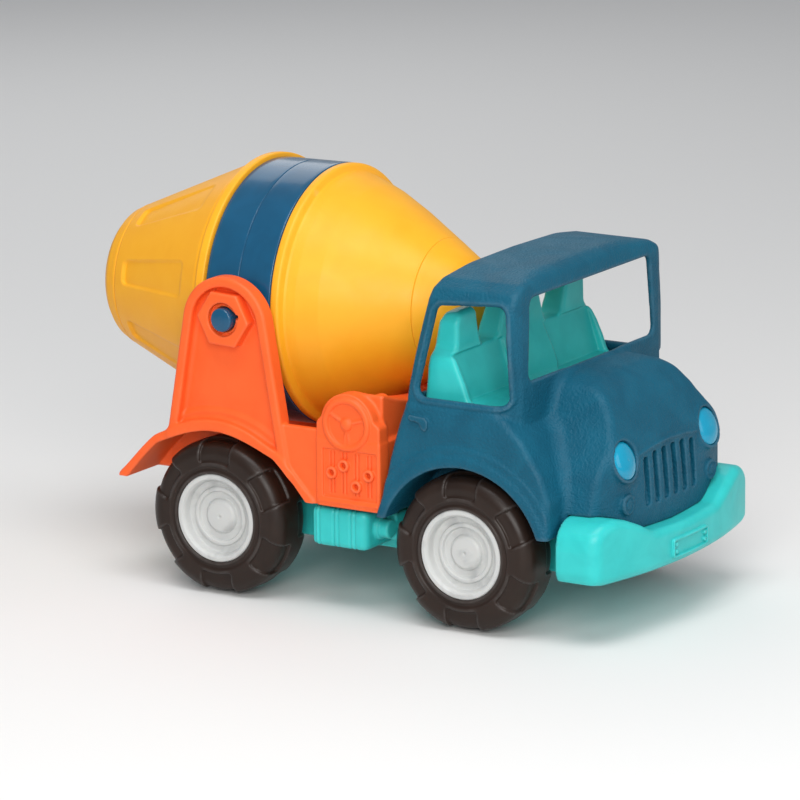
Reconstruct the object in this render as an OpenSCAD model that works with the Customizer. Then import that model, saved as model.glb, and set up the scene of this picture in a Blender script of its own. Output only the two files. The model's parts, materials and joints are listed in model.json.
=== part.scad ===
// Toy cement mixer truck.
// +X is forward, +Y is the truck's left and +Z is up.
// The origin is on the ground, under the middle of the truck.

/* [Wheels] */
// Outer radius of every tyre
tyre_r = 34.5; // [34:0.1:35]
// Width of a tyre
tyre_w = 25; // [23:1:25]
// Radius where the tyre sits on its hub
hub_r = 19.7; // [18:0.1:21]
// Radius of the steel axles
axle_r = 3; // [2.5:0.1:3.2]
// Outer face of the wheels, from the middle of the truck
wheel_face_y = 71; // [70.8:0.1:71.2]
// Distance from the rear axle to the front axle
wheelbase = 125; // [124.5:0.1:125.5]
// Raised tread blocks around each edge of a tyre
tread_blocks = 12; // [8:1:14]

/* [Drum] */
// Height of the tilting axis above the ground
pivot_z = 123.6; // [123.4:0.1:125]
// Outer radius of the blue ring that carries the drum
ring_r = 58.3; // [58:0.1:58.5]
// Width of the blue ring
ring_w = 33.4; // [32:0.1:34]
// Radius of the drum's front rim, beside the ring
front_rim_r = 58.2; // [57:0.1:58.5]
// Radius of the drum's rear rim, which stands out past the ring
rear_rim_r = 60.3; // [58:0.1:60.4]
// Radius of the drum barrel that runs inside the ring
barrel_r = 53.9; // [53:0.1:54]
// Wall of the drum
drum_wall = 2.6; // [2:0.1:3]
// Radius of the mouth at the rear end of the drum
mouth_r = 22; // [18:0.5:24]
// Radius of the two pins that the ring tilts on
pin_r = 5.2; // [4.5:0.1:5.4]
// How far the front of the drum points up at rest, in degrees
rest_tilt = 1; // [0:0.1:2]

/* [Mixer frame] */
// Outer face of the orange frame, from the middle of the truck
frame_y = 69; // [68.8:0.1:69]
// Radius of the rounded top of an upright
upright_r = 21.6; // [20:0.1:22]
// Half of an upright's width at its foot
upright_foot = 31; // [29:0.5:32]
// Depth of the panel inside an upright's rim
upright_recess = 5; // [3:0.5:5]
// Radius of the rear wheel arch
arch_r = 41.4; // [41:0.1:42]
// Height of the deck's top
deck_z = 52; // [51:0.5:52]
// Lever tracks in the control panel
panel_tracks = 4; // [3:1:4]

/* [Cab] */
// Half width of the cab below the waist
cab_y = 70; // [69.5:0.1:70]
// Half width of the roof's edge
roof_y = 61.5; // [60:0.5:63]
// Thickness of the cab's walls
cab_wall = 2.8; // [2.4:0.1:3]
// Radius of the front wheel arch
front_arch_r = 39.7; // [39:0.1:40]
// Slots in the grille
grille_slots = 6; // [2:2:6]
// Radius of a headlight
lamp_r = 8.5; // [7.5:0.1:8.8]

/* [Hidden] */
$fn = 96;
soft_fn = 24;
eps = 0.01;

cab_blue = [0.07, 0.27, 0.40];
aqua = [0.20, 0.76, 0.75];
sky_blue = [0.10, 0.62, 0.80];
orange = [0.96, 0.40, 0.22];
yellow = [0.98, 0.72, 0.16];
ring_blue = [0.09, 0.31, 0.47];
tyre_brown = [0.13, 0.10, 0.09];
hub_white = [0.90, 0.90, 0.88];
steel = [0.70, 0.71, 0.73];

// Axles
axle_z = tyre_r;
rear_axle_x = -55.8;
front_axle_x = rear_axle_x + wheelbase;
axle_fit = 0.1;
axle_end_y = 64;
hub_inner_y = 42;
tyre_inner_y = wheel_face_y - tyre_w;

// Drum
pivot_x = -51;
ring_gap = 0.3;
ring_fit = 0.1;
ring_bore_r = barrel_r + ring_fit;
groove_half = ring_w / 2 + ring_gap;
rim_w = 3.8;
pin_fit = 0.1;
pin_end_y = 72;
pin_inner_y = 54.8;
front_end_s = 91;
rear_end_s = -91.9;
nose_seam_s = 71;
mouth_seam_s = -82.3;

// Mixer frame
frame_wall = 2.8;
frame_bottom_z = 47;
frame_rear_x = -100;
frame_front_x = 28;
upright_x = -51;
upright_arc_z = 120.6;
upright_foot_z = 68;
upright_inner_y = 61;
upright_rim = 4.6;
arch_x = -56.8;
arch_z = 31.6;
arch_lip = 5;
house_inner_y = 42;
house_wall = 2.4;
deck_wall = 3;
panel_x = -4;
panel_top_z = 85.5;
dial_x = 11.7;
dial_z = 84.3;
dial_plate_r = 13.4;
dial_r = 10.6;
hump_rear_x = 10;
hump_front_x = 26;
hump_z = 86;
hump_curve_r = 185;
nut_r = 13.3;
nut_face_y = 70;

// Underbody and bumper
pan_bottom_z = 24;
pan_top_z = 46;
pan_y = 41;
pan_rear_x = -98;
pan_front_x = 121;
pan_wall = 3;
bumper_front_x = 143.3;
bumper_y = 69;
bumper_curve_r = 255;
bumper_face = 0.8;
bumper_end_x = 114;

// Cab
cab_bottom_z = 46;
waist_z = 97;
roof_z = 155;
cab_floor_z = 73;
front_arch_z = 32.8;
nose_x = 135;
nose_curve_r = 170;
lamp_x = 129.8;
lamp_y = 36.3;
lamp_z = 76;
lamp_lean = 19;
lamp_stem = 5.6;
socket_rim = 1.4;
socket_l = 12;

// Screws: [x, y] of each, mirrored to both sides
screw_head_r = 3.4;
screw_head_h = 2;
screw_r = 1.5;
pan_screws = [[-86, 24], [-6, 24], [46, 24], [108, 24]];

// ---- helpers ----

// Extrudes an outline drawn in X and Z along Y, from y0 to y1
module along_y(y0, y1) {
    translate([0, y1, 0])
        rotate([90, 0, 0])
            linear_extrude(y1 - y0) children();
}

// Extrudes an outline drawn in Y and Z along X, from x0 to x1
module along_x(x0, x1) {
    translate([x0, 0, 0])
        rotate([90, 0, 90])
            linear_extrude(x1 - x0) children();
}

module right_side() {
    mirror([0, 1, 0]) children();
}

module both_sides() {
    children();
    mirror([0, 1, 0]) children();
}

// Rounds the outer and the inner corners of an outline
module rounded(r) {
    offset(r = r, $fn = soft_fn)
        offset(r = -2 * r, $fn = soft_fn)
            offset(r = r, $fn = soft_fn) children();
}

// Places a shape made around Z on the drum's own axis, with its front end towards +Z
module on_drum_axis() {
    translate([pivot_x, 0, pivot_z])
        rotate([0, 90 - rest_tilt, 0]) children();
}

// Point where a line from p touches a circle round c; side is 1 or -1
function touch(c, r, p, side) =
    let (d = p - c, a = atan2(d.y, d.x) + side * acos(r / norm(d)))
    c + r * [cos(a), sin(a)];

// ---- wheels ----

module tyre() {
    round_r = 6;
    rotate_extrude()
        intersection() {
            translate([hub_r, 0]) square([tyre_r - hub_r, tyre_w]);
            union() {
                translate([0, round_r]) square([tyre_r, tyre_w - 2 * round_r]);
                square([tyre_r - round_r, tyre_w]);
                for (z = [round_r, tyre_w - round_r])
                    translate([tyre_r - round_r, z]) circle(round_r);
            }
        }
}

// One tyre with shallow grooves between its tread blocks, outer face at +Z
module treaded_tyre() {
    groove_w = 2.2;
    groove_depth = 1.4;
    difference() {
        tyre();
        for (i = [0 : tread_blocks - 1])
            for (edge = [0, 1])
                rotate(i * 360 / tread_blocks + edge * 180 / tread_blocks)
                    translate([tyre_r - groove_depth, -groove_w / 2, edge * tyre_w * 0.6 - eps])
                        cube([groove_depth + 1, groove_w, tyre_w * 0.4 + 2 * eps]);
    }
}

// Wheel hub, with its outer face at +Z; the origin is in the tyre's inner face
module hub() {
    rim_wall = 3;
    web_z = 4;
    web_h = 14;
    boss_r = 7;
    boss_inner = hub_inner_y - tyre_inner_y;
    cap_z = axle_end_y - tyre_inner_y;
    ring_h = 1.6;
    difference() {
        rotate_extrude()
            union() {
                translate([hub_r - rim_wall, 1]) square([rim_wall, tyre_w - 1.4]);
                translate([0, web_z]) square([hub_r - 1, web_h]);
                translate([0, boss_inner]) square([boss_r, cap_z + 3 - boss_inner]);
                translate([boss_r + 3.5, web_z + web_h - eps]) square([1.8, ring_h]);
            }
        translate([0, 0, boss_inner - 1]) cylinder(r = axle_r, h = cap_z - boss_inner + 1);
    }
}

// Puts a wheel part, made with its outer face at +Z, at the left end of an axle
module at_left_wheel(x) {
    translate([x, tyre_inner_y, axle_z]) rotate([-90, 0, 0]) children();
}

module at_right_wheel(x) {
    right_side() at_left_wheel(x) children();
}

module axle(x) {
    color(steel)
        translate([x, axle_end_y, axle_z])
            rotate([90, 0, 0]) cylinder(r = axle_r, h = 2 * axle_end_y);
}

module front_axle() { axle(front_axle_x); }
module rear_axle() { axle(rear_axle_x); }
module front_hub_right() { color(hub_white) at_right_wheel(front_axle_x) hub(); }
module front_hub_left() { color(hub_white) at_left_wheel(front_axle_x) hub(); }
module rear_hub_right() { color(hub_white) at_right_wheel(rear_axle_x) hub(); }
module rear_hub_left() { color(hub_white) at_left_wheel(rear_axle_x) hub(); }
module front_tyre_right() { color(tyre_brown) at_right_wheel(front_axle_x) treaded_tyre(); }
module front_tyre_left() { color(tyre_brown) at_left_wheel(front_axle_x) treaded_tyre(); }
module rear_tyre_right() { color(tyre_brown) at_right_wheel(rear_axle_x) treaded_tyre(); }
module rear_tyre_left() { color(tyre_brown) at_left_wheel(rear_axle_x) treaded_tyre(); }

// ---- drum ----

// Front of the drum, as [radius, distance along the axis]; t thins it to the inner face
function front_outline(t) = [
    [0, front_end_s - t], [12 - t, front_end_s - t], [18 - t, front_end_s - 2.5 - t], [22 - t, 83.5 - t / 2],
    [27 - t, 75], [42 - t, 50], [49.5 - t, 36], [54 - t, 24.5]
];

// Section of the whole drum, as radius and distance along its axis
module drum_section() {
    cone_s = -24;
    cone_r = 57;
    shoulder_s = -80;
    shoulder_r = 34;
    bore_r = barrel_r - drum_wall;
    difference() {
        polygon(concat(front_outline(0), [
            [54.5, groove_half + rim_w + 1], [front_rim_r, groove_half + rim_w], [front_rim_r, groove_half],
            [barrel_r, groove_half], [barrel_r, -groove_half], [rear_rim_r, -groove_half],
            [rear_rim_r, -groove_half - rim_w], [cone_r, cone_s], [shoulder_r, shoulder_s],
            [shoulder_r - 3.5, shoulder_s - 8], [shoulder_r - 6.5, rear_end_s + 1],
            [shoulder_r - 9, rear_end_s], [0, rear_end_s]
        ]));
        polygon(concat(front_outline(drum_wall), [
            [bore_r, groove_half + rim_w], [bore_r, -groove_half - rim_w], [shoulder_r - drum_wall, shoulder_s],
            [shoulder_r - 6, shoulder_s - 8], [mouth_r + 3, rear_end_s + drum_wall],
            [mouth_r, rear_end_s + drum_wall], [mouth_r, rear_end_s - 1], [0, rear_end_s - 1]
        ]));
    }
}

// Stretch of the drum from s0 to s1 along its axis
module drum_stretch(s0, s1) {
    color(yellow)
        on_drum_axis()
            rotate_extrude()
                intersection() {
                    drum_section();
                    translate([0, s0]) square([ring_r + 10, s1 - s0]);
                }
}

module drum_nose_cap() { drum_stretch(nose_seam_s, front_end_s); }
module drum_front_shell() { drum_stretch(groove_half, nose_seam_s); }
module drum_barrel() { drum_stretch(-groove_half, groove_half); }
module drum_rear_shell() { drum_stretch(mouth_seam_s, -groove_half); }
module drum_mouth_rim() { drum_stretch(rear_end_s, mouth_seam_s); }

// Pin that the ring turns on, made along +Y
module trunnion_pin() {
    dome_h = 0.8;
    translate([pivot_x, 0, pivot_z])
        rotate([-90, 0, 0]) {
            translate([0, 0, pin_inner_y]) cylinder(r = pin_r, h = pin_end_y - dome_h - pin_inner_y);
            translate([0, 0, pin_end_y - dome_h]) cylinder(r1 = pin_r, r2 = pin_r - dome_h, h = dome_h);
        }
}

module trunnion_pin_left() { color(ring_blue) trunnion_pin(); }
module trunnion_pin_right() { color(ring_blue) right_side() trunnion_pin(); }

// Half of the ring, from s0 to s1 along the drum's axis
module ring_half(s0, s1) {
    color(ring_blue)
        difference() {
            on_drum_axis()
                translate([0, 0, s0])
                    difference() {
                        cylinder(r = ring_r, h = s1 - s0);
                        translate([0, 0, -1]) cylinder(r = ring_bore_r, h = s1 - s0 + 2);
                    }
            both_sides()
                translate([pivot_x, pin_inner_y, pivot_z])
                    rotate([-90, 0, 0]) cylinder(r = pin_r, h = ring_r);
        }
}

module drum_ring_front() { ring_half(0, ring_w / 2); }
module drum_ring_rear() { ring_half(-ring_w / 2, 0); }

// ---- mixer frame ----

// Outline of an upright in X and Z, drawn inside its edge by w
module upright_outline(w) {
    c = [upright_x, upright_arc_z];
    r = upright_r - w;
    foot_l = [upright_x - upright_foot + w, upright_foot_z];
    foot_r = [upright_x + upright_foot - w, upright_foot_z];
    translate(c) circle(r);
    polygon([c, touch(c, r, foot_l, -1), foot_l, foot_r, touch(c, r, foot_r, 1)]);
}

// The rear wheel's opening, which widens towards the bottom
module rear_arch(grow) {
    flare_x = 46.5;
    flare_top = 29;
    translate([arch_x, arch_z]) {
        circle(arch_r + grow);
        polygon([
            [-flare_top - grow, flare_top], [flare_top + grow, flare_top],
            [flare_x + grow, frame_bottom_z - arch_z - 1], [flare_x + grow, -40],
            [-flare_x - grow, -40], [-flare_x - grow, frame_bottom_z - arch_z - 1]
        ]);
    }
}

// Everything of the frame's side that is above its lower edge
module above_frame_bottom() {
    intersection() {
        children();
        translate([-150, frame_bottom_z]) square([300, 150]);
    }
}

// Fender band around the rear wheel's opening
module fender_outline(lip) {
    above_frame_bottom()
        difference() {
            rear_arch(lip);
            rear_arch(0);
        }
}

module panel_outline() {
    translate([panel_x, frame_bottom_z]) square([frame_front_x - panel_x, panel_top_z - frame_bottom_z]);
    translate([dial_x, dial_z]) circle(dial_plate_r);
}

// Hex nut shape and pin bore of an upright
module nut_relief() {
    translate([pivot_x, nut_face_y, pivot_z])
        rotate([90, 0, 0]) cylinder(r = nut_r, h = nut_face_y - upright_inner_y, $fn = 6);
}

module pin_bore() {
    recess_r = 7.4;
    recess_depth = 2.6;
    translate([pivot_x, 0, pivot_z])
        rotate([-90, 0, 0]) {
            translate([0, 0, 50]) cylinder(r = pin_r + pin_fit, h = 30);
            translate([0, 0, nut_face_y - recess_depth]) cylinder(r = recess_r, h = 10);
        }
}

// Handwheel, slots and knobs on the outer face of the control panel
module panel_relief() {
    spoke_w = 1.5;
    relief = 1.4;
    knobs = [[3.3, 62.4], [9.4, 66], [15.7, 57.4], [22, 63]];
    translate([dial_x, frame_y, dial_z])
        rotate([-90, 0, 0]) {
            rotate_extrude() translate([dial_r - 1.2, 0]) circle(1.4);
            cylinder(r1 = 2.6, r2 = 1.2, h = 1.8);
            for (a = [90 : 120 : 330])
                rotate(a) translate([0, -spoke_w / 2, -eps]) cube([dial_r - 1.5, spoke_w, 0.6]);
        }
    for (k = knobs)
        translate([k.x, frame_y - 1, k.y])
            rotate([-90, 0, 0])
                difference() {
                    cylinder(r = 2.7, h = 1 + relief);
                    translate([0, 0, 1]) cylinder(r = 1.2, h = 3);
                }
}

// Sunken field of the levers, with a deeper track under each knob
module panel_cuts() {
    field_bottom = 52;
    field_top = 72;
    field_depth = 0.6;
    track_w = 1.8;
    first = 3.3;
    pitch = 18.7 / (panel_tracks - 1);
    difference() {
        translate([-1, frame_y - field_depth, field_bottom])
            cube([27, 2, field_top - field_bottom]);
        panel_relief();
    }
    for (i = [0 : panel_tracks - 1])
        difference() {
            translate([first + i * pitch - track_w / 2, frame_y - 2 * field_depth, field_bottom])
                cube([track_w, 2, field_top - field_bottom]);
            panel_relief();
        }
}

// Left fender and deck of the orange frame; the right one is its mirror image
module frame_half() {
    inner_lip = 2;
    fender_inner_y = 50;
    difference() {
        union() {
            along_y(fender_inner_y, frame_y) fender_outline(arch_lip);
            along_y(house_inner_y, frame_y) fender_outline(inner_lip);
            along_y(house_inner_y, house_inner_y + house_wall)
                above_frame_bottom() rear_arch(inner_lip);
            deck();
        }
        pan_screw_holes(screw_r, pan_top_z, deck_z - 1);
    }
}

// Left upright, which stands on the fender and carries a trunnion pin
module upright() {
    difference() {
        union() {
            difference() {
                along_y(upright_inner_y, frame_y)
                    difference() {
                        upright_outline(0);
                        rear_arch(arch_lip);
                    }
                along_y(frame_y - upright_recess, frame_y + 1) upright_outline(upright_rim);
            }
            nut_relief();
        }
        pin_bore();
    }
}

// Left control panel, with the low wall behind it and half of the cross block
module control_panel() {
    difference() {
        union() {
            step();
            panel_block();
            hump();
            panel_relief();
        }
        panel_cuts();
    }
}

module deck() {
    translate([frame_rear_x, 0, deck_z - deck_wall])
        cube([frame_front_x - frame_rear_x, house_inner_y + 1, deck_wall]);
    for (x = [frame_rear_x, frame_front_x - deck_wall])
        translate([x, 0, pan_top_z]) cube([deck_wall, pan_y, deck_z - pan_top_z - 1]);
    translate([frame_rear_x, pan_y - pan_wall, pan_top_z])
        cube([frame_front_x - frame_rear_x, pan_wall, deck_z - pan_top_z - 1]);
    for (s = [pan_screws[0], pan_screws[1]])
        translate([s.x, s.y, pan_top_z]) cylinder(r = 4.5, h = deck_z - pan_top_z - 1);
}

// Low wall between an upright and the control panel
module step() {
    step_top = 80;
    step_y = 67.5;
    step_rear_x = -24;
    floor_rear_x = -14;
    along_y(step_y - 3.5, step_y)
        difference() {
            translate([step_rear_x, frame_bottom_z]) square([panel_x + 1 - step_rear_x, step_top - frame_bottom_z]);
            rear_arch(arch_lip);
            upright_outline(0);
        }
    along_y(house_inner_y + 1, step_y)
        difference() {
            translate([floor_rear_x, frame_bottom_z]) square([panel_x + 1 - floor_rear_x, deck_z - frame_bottom_z]);
            rear_arch(arch_lip);
        }
}

module panel_block() {
    difference() {
        union() {
            along_y(house_inner_y + 1, frame_y)
                translate([panel_x, frame_bottom_z])
                    square([frame_front_x - panel_x, panel_top_z - frame_bottom_z - 8]);
            along_y(frame_y - 7, frame_y) panel_outline();
        }
        translate([panel_x + frame_wall, house_inner_y + 1 + frame_wall, frame_bottom_z - 1])
            cube([
                frame_front_x - panel_x - 2 * frame_wall,
                frame_y - house_inner_y - 1 - 2 * frame_wall,
                panel_top_z - frame_bottom_z - 8 - frame_wall + 1
            ]);
    }
}

// Cross block behind the cab; its top is hollowed to follow the drum
module hump() {
    difference() {
        along_x(hump_rear_x, hump_front_x) hump_section(0);
        along_x(hump_rear_x + frame_wall, hump_front_x - frame_wall) hump_section(frame_wall);
    }
}

module hump_section(t) {
    top_z = 97;
    end_y = 63;
    difference() {
        translate([-t, deck_z - t]) square([end_y, top_z - deck_z]);
        translate([0, hump_z + hump_curve_r]) circle(hump_curve_r + t, $fn = 200);
        translate([-t - 1, 0]) square([1, 200]);
    }
}

// Holes of the screws that come up through the underbody
module pan_screw_holes(r, z0, z1) {
    for (s = pan_screws)
        translate([s.x, s.y, z0 - 1]) cylinder(r = r, h = z1 - z0 + 1);
}

module frame_left() { color(orange) frame_half(); }
module frame_right() { color(orange) right_side() frame_half(); }
module upright_left() { color(orange) upright(); }
module upright_right() { color(orange) right_side() upright(); }
module control_panel_left() { color(orange) control_panel(); }
module control_panel_right() { color(orange) right_side() control_panel(); }

// ---- underbody, tanks and bumper ----

module underbody() {
    color(aqua)
        difference() {
            union() {
                difference() {
                    translate([pan_rear_x, -pan_y, pan_bottom_z])
                        cube([pan_front_x - pan_rear_x, 2 * pan_y, pan_top_z - pan_bottom_z]);
                    translate([pan_rear_x + pan_wall, -pan_y + pan_wall, pan_bottom_z + pan_wall])
                        cube([
                            pan_front_x - pan_rear_x - 2 * pan_wall,
                            2 * (pan_y - pan_wall),
                            pan_top_z - pan_bottom_z
                        ]);
                }
                for (x = [rear_axle_x, front_axle_x])
                    both_sides() axle_block(x);
                both_sides()
                    for (s = pan_screws)
                        translate([s.x, s.y, pan_bottom_z]) cylinder(r = 4.5, h = pan_top_z - pan_bottom_z);
            }
            for (x = [rear_axle_x, front_axle_x])
                translate([x, pan_y + 1, axle_z])
                    rotate([90, 0, 0]) cylinder(r = axle_r + axle_fit, h = 2 * pan_y + 2);
            both_sides()
                pan_screw_holes(screw_r, pan_bottom_z, pan_top_z + 1);
            both_sides()
                for (s = pan_screws)
                    translate([s.x, s.y, pan_bottom_z - 1]) cylinder(r = screw_head_r, h = screw_head_h + 1);
        }
}

// Block inside the pan that an axle runs in
module axle_block(x) {
    half = 8;
    inner_y = 29;
    translate([x - half, inner_y, pan_bottom_z + 1])
        cube([2 * half, pan_y - inner_y - 1, pan_top_z - pan_bottom_z - 2]);
}

// Screws that join the underbody to the frame and to the cab
module underbody_screws() {
    reach = 53;
    color(steel)
        both_sides()
            for (s = pan_screws)
                translate([s.x, s.y, pan_bottom_z]) {
                    cylinder(r = screw_head_r, h = screw_head_h);
                    cylinder(r = screw_r, h = (s.x < frame_front_x ? deck_z - 1 : reach) - pan_bottom_z);
                }
}

// Ribbed tank on the left side, between the wheels
module side_tank() {
    rear_x = -9;
    front_x = 19.5;
    outer_y = 66;
    bottom_z = 28;
    top_z = 45.5;
    ribs = 7;
    rib_r = 1;
    link_x = 26;
    pitch = (front_x - rear_x - 8) / (ribs - 1);
    translate([0, 0, bottom_z]) {
        linear_extrude(top_z - bottom_z)
            rounded(2.5) translate([rear_x, pan_y]) square([front_x - rear_x, outer_y - pan_y]);
        linear_extrude(top_z - bottom_z)
            translate([rear_x, pan_y]) square([front_x - rear_x, 8]);
        for (i = [0 : ribs - 1])
            translate([rear_x + 4 + i * pitch, outer_y, 1]) cylinder(r = rib_r, h = top_z - bottom_z - 2);
        translate([front_x - 4, pan_y, 3]) cube([link_x - front_x + 4, 16, 12]);
    }
}

module side_tank_left() { color(aqua) side_tank(); }
module side_tank_right() { color(aqua) right_side() side_tank(); }

// Front view of the bumper in Y and Z: low in the middle, higher at its ends
module bumper_front_outline() {
    half = [
        [0, 43.5], [27, 44.6], [37, 49.2], [50, 53.9], [60, 54.8], [66.5, 51],
        [bumper_y, 44], [bumper_y, 32], [66, 28], [60, 27], [0, 26.5]
    ];
    polygon(half);
    mirror([1, 0]) polygon(half);
}

// Top view of the bumper, thinned by t
module bumper_top_outline(t) {
    end_r = 11;
    intersection() {
        translate([bumper_front_x - bumper_face - bumper_curve_r, 0]) circle(bumper_curve_r - t, $fn = 360);
        offset(r = end_r, $fn = soft_fn)
            translate([90, -bumper_y + end_r + t]) square([bumper_front_x + 1 - end_r - 90, 2 * (bumper_y - end_r - t)]);
    }
}

// Room that the bumper takes, as one closed block from x0 forwards
module bumper_room(x0) {
    intersection() {
        translate([0, 0, 20])
            linear_extrude(40)
                intersection() {
                    bumper_top_outline(0);
                    translate([x0, -100]) square([60, 200]);
                }
        along_x(x0, bumper_front_x + 1) bumper_front_outline();
    }
}

module front_bumper() {
    rear_x = 121;
    plate_y = 15;
    color(aqua)
        union() {
            difference() {
                bumper_room(bumper_end_x);
                translate([bumper_end_x - 1, -50, 0]) cube([rear_x - bumper_end_x + 1, 100, 100]);
                wheel_room();
            }
            plate_relief(plate_y);
        }
}

// Raised plate frame on the middle of the bumper, with four bolt heads
module plate_relief(half) {
    relief = 1.5;
    plate_z = 31.5;
    plate_h = 9.5;
    line_w = 1.2;
    translate([bumper_front_x - relief, 0, 0]) {
        along_x(0, relief)
            difference() {
                translate([-half, plate_z]) square([2 * half, plate_h]);
                translate([-half + line_w, plate_z + line_w]) square([2 * (half - line_w), plate_h - 2 * line_w]);
            }
        for (y = [-half + 3, half - 3])
            for (z = [plate_z + 3, plate_z + plate_h - 3])
                translate([0, y, z]) rotate([0, 90, 0]) cylinder(r = 1, h = relief);
    }
}

// Room kept clear round the front wheels
module wheel_room() {
    both_sides()
        along_y(house_inner_y + house_wall, 90)
            translate([front_axle_x, front_arch_z]) circle(front_arch_r);
}

// ---- cab ----

// Side view of the cab's lower body, with the rear edge leaning
module lower_side() {
    polygon([
        [28.4, cab_bottom_z], [31, 58], [34, 71], [37.7, 84], [41.9, waist_z + 1], [84, waist_z + 1],
        [90, 95], [99, 87], [108, 73], [112, 62], [112, cab_bottom_z]
    ]);
}

// Side view of the part with the windows
module upper_side() {
    polygon([
        [42.1, waist_z - 6], [42.1, waist_z + 3], [42.7, 105], [45, 118], [47.8, 132], [49.6, 140], [51, 146],
        [52.4, 150], [54.5, roof_z - 1], [69, roof_z], [86, roof_z - 0.5], [91, 151], [92.5, 146],
        [94.5, waist_z], [94.5, waist_z - 6]
    ]);
}

// Front view of the part with the windows, in Y and Z
module upper_front() {
    half = [
        [0, waist_z - 6], [67.5, waist_z - 6], [68.6, waist_z], [66.4, 118], [roof_y + 1.9, 143],
        [roof_y - 0.6, 147.5], [roof_y - 6.5, 150.2], [35, 153.4], [0, roof_z]
    ];
    polygon(half);
    mirror([1, 0]) polygon(half);
}

module lower_front() {
    half = [[0, cab_bottom_z], [cab_y, cab_bottom_z], [cab_y, 88], [68.8, waist_z], [68, waist_z + 1], [0, waist_z + 1]];
    polygon(half);
    mirror([1, 0]) polygon(half);
}

// Top view of the part with the windows, rounded at the front
module upper_top() {
    round_r = 18;
    half = 69;
    rear_x = 20;
    front_x = 94.5;
    translate([rear_x, -half]) square([40, 2 * half]);
    offset(r = round_r, $fn = soft_fn)
        translate([50, -half + round_r]) square([front_x - 50 - round_r, 2 * (half - round_r)]);
}

// Side view of the hood and the nose
module hood_side() {
    polygon([
        [85, 60], [85, 109.3], [100, 109.3], [109, 107.2], [117, 102.4], [122.8, 95.5], [126.5, 88.5],
        [130.4, 80], [134.2, 52], [134.6, 42], [106, 42], [106, 60]
    ]);
}

// Front view of the hood, in Y and Z
module hood_front() {
    half = [
        [0, 30], [57, 30], [57, 56], [53, 70], [48, 78.5], [42.5, 86], [38, 92.5], [34.5, 99.5],
        [31.5, 104.8], [22, 108.3], [12, 109.2], [0, 109.3]
    ];
    polygon(half);
    mirror([1, 0]) polygon(half);
}

module hood_top() {
    round_r = 18;
    half = 57;
    intersection() {
        offset(r = round_r, $fn = soft_fn)
            translate([80, -half + round_r]) square([nose_x - 81 - round_r, 2 * (half - round_r)]);
        translate([nose_x - nose_curve_r, 0]) circle(nose_curve_r, $fn = 180);
    }
}

// The cab as a closed block; t moves its faces inwards
module cab_block(t) {
    intersection() {
        along_y(-80, 80) offset(delta = -t) lower_side();
        along_x(20, 120) offset(delta = -t) lower_front();
    }
    intersection() {
        along_y(-80, 80) offset(delta = -t) upper_side();
        along_x(20, 120) offset(delta = -t) upper_front();
        translate([0, 0, 80]) linear_extrude(90) offset(delta = -t) upper_top();
    }
    intersection() {
        along_y(-80, 80) offset(delta = -t) hood_side();
        along_x(80, 140) offset(delta = -t) hood_front();
        translate([0, 0, 20]) linear_extrude(100) offset(delta = -t) hood_top();
    }
}

module cab_shell() {
    color(cab_blue)
        difference() {
            union() {
                difference() {
                    union() {
                        cab_block(0);
                        lamp_sockets();
                        both_sides() arch_rim();
                    }
                    cab_hollow();
                    side_windows();
                    rear_window();
                    windscreen();
                }
                cab_floor();
            }
            wheel_room();
            bumper_room(bumper_end_x);
            translate([100, -pan_y - 0.5, 20]) cube([pan_front_x - 100 + 0.5, 2 * pan_y + 1, pan_top_z - 20]);
            grille_cuts();
            lamp_holes();
            both_sides() pan_screw_holes(screw_r, pan_top_z, 53);
        }
}

module cab_hollow() {
    cab_block(cab_wall);
    // The body, the windows' part and the nose are open to each other
    translate([80, -33, 78]) cube([17, 66, 16]);
    translate([95, -40, 52]) cube([20, 80, 18]);
    // Open underside of the body and of the nose
    translate([33, -66, cab_bottom_z - 1]) cube([75, 132, 9]);
    translate([100, -45, 20]) cube([30, 90, 34]);
}

// Side window with rounded corners, cut through both sides
module side_windows() {
    along_y(-90, 90)
        offset(r = 4, $fn = soft_fn)
            polygon([[51, 104.5], [57.5, 136.5], [84, 138.5], [86, 104.5]]);
}

module rear_window() {
    along_x(20, 56)
        offset(r = 5, $fn = soft_fn)
            polygon([[-56.5, 105], [56.5, 105], [54.5, 138], [-54.5, 138]]);
}

module windscreen() {
    along_x(84, 120)
        offset(r = 4, $fn = soft_fn)
            polygon([[-50, 113.5], [50, 113.5], [48, 141], [-48, 141]]);
}

// Flared edge of the front wheel's opening
module arch_rim() {
    along_y(cab_y - 3, cab_y + 1.4)
        difference() {
            translate([front_axle_x, front_arch_z]) circle(front_arch_r + 4);
            translate([0, -60]) square([200, 60 + cab_bottom_z]);
        }
}

// Floor over the wheels, wheel house walls and the screw posts under it
module cab_floor() {
    difference() {
        union() {
            translate([35, -cab_y + 2, cab_floor_z]) cube([74, 2 * (cab_y - 2), 2.6]);
            translate([100, -44, cab_floor_z]) cube([28, 88, 2.6]);
            both_sides() along_y(house_inner_y, house_inner_y + house_wall)
                translate([33, cab_bottom_z]) square([78, cab_floor_z - cab_bottom_z + 1]);
            both_sides()
                for (i = [2, 3])
                    translate([pan_screws[i].x, pan_screws[i].y, pan_top_z])
                        cylinder(r = 4.5, h = cab_floor_z - pan_top_z + 1);
        }
        wheel_room();
    }
}

module grille_cuts() {
    pitch = 8;
    slot_w = 4.4;
    depth = 1.9;
    for (i = [0 : grille_slots - 1]) {
        y = (i - (grille_slots - 1) / 2) * pitch;
        translate([-y * y / (2 * nose_curve_r), y, 0])
            along_y(-slot_w / 2, slot_w / 2)
                polygon([
                    [131.5 - depth, 75], [140, 75], [140, 53], [134.1 - depth, 53]
                ]);
    }
}

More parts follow.
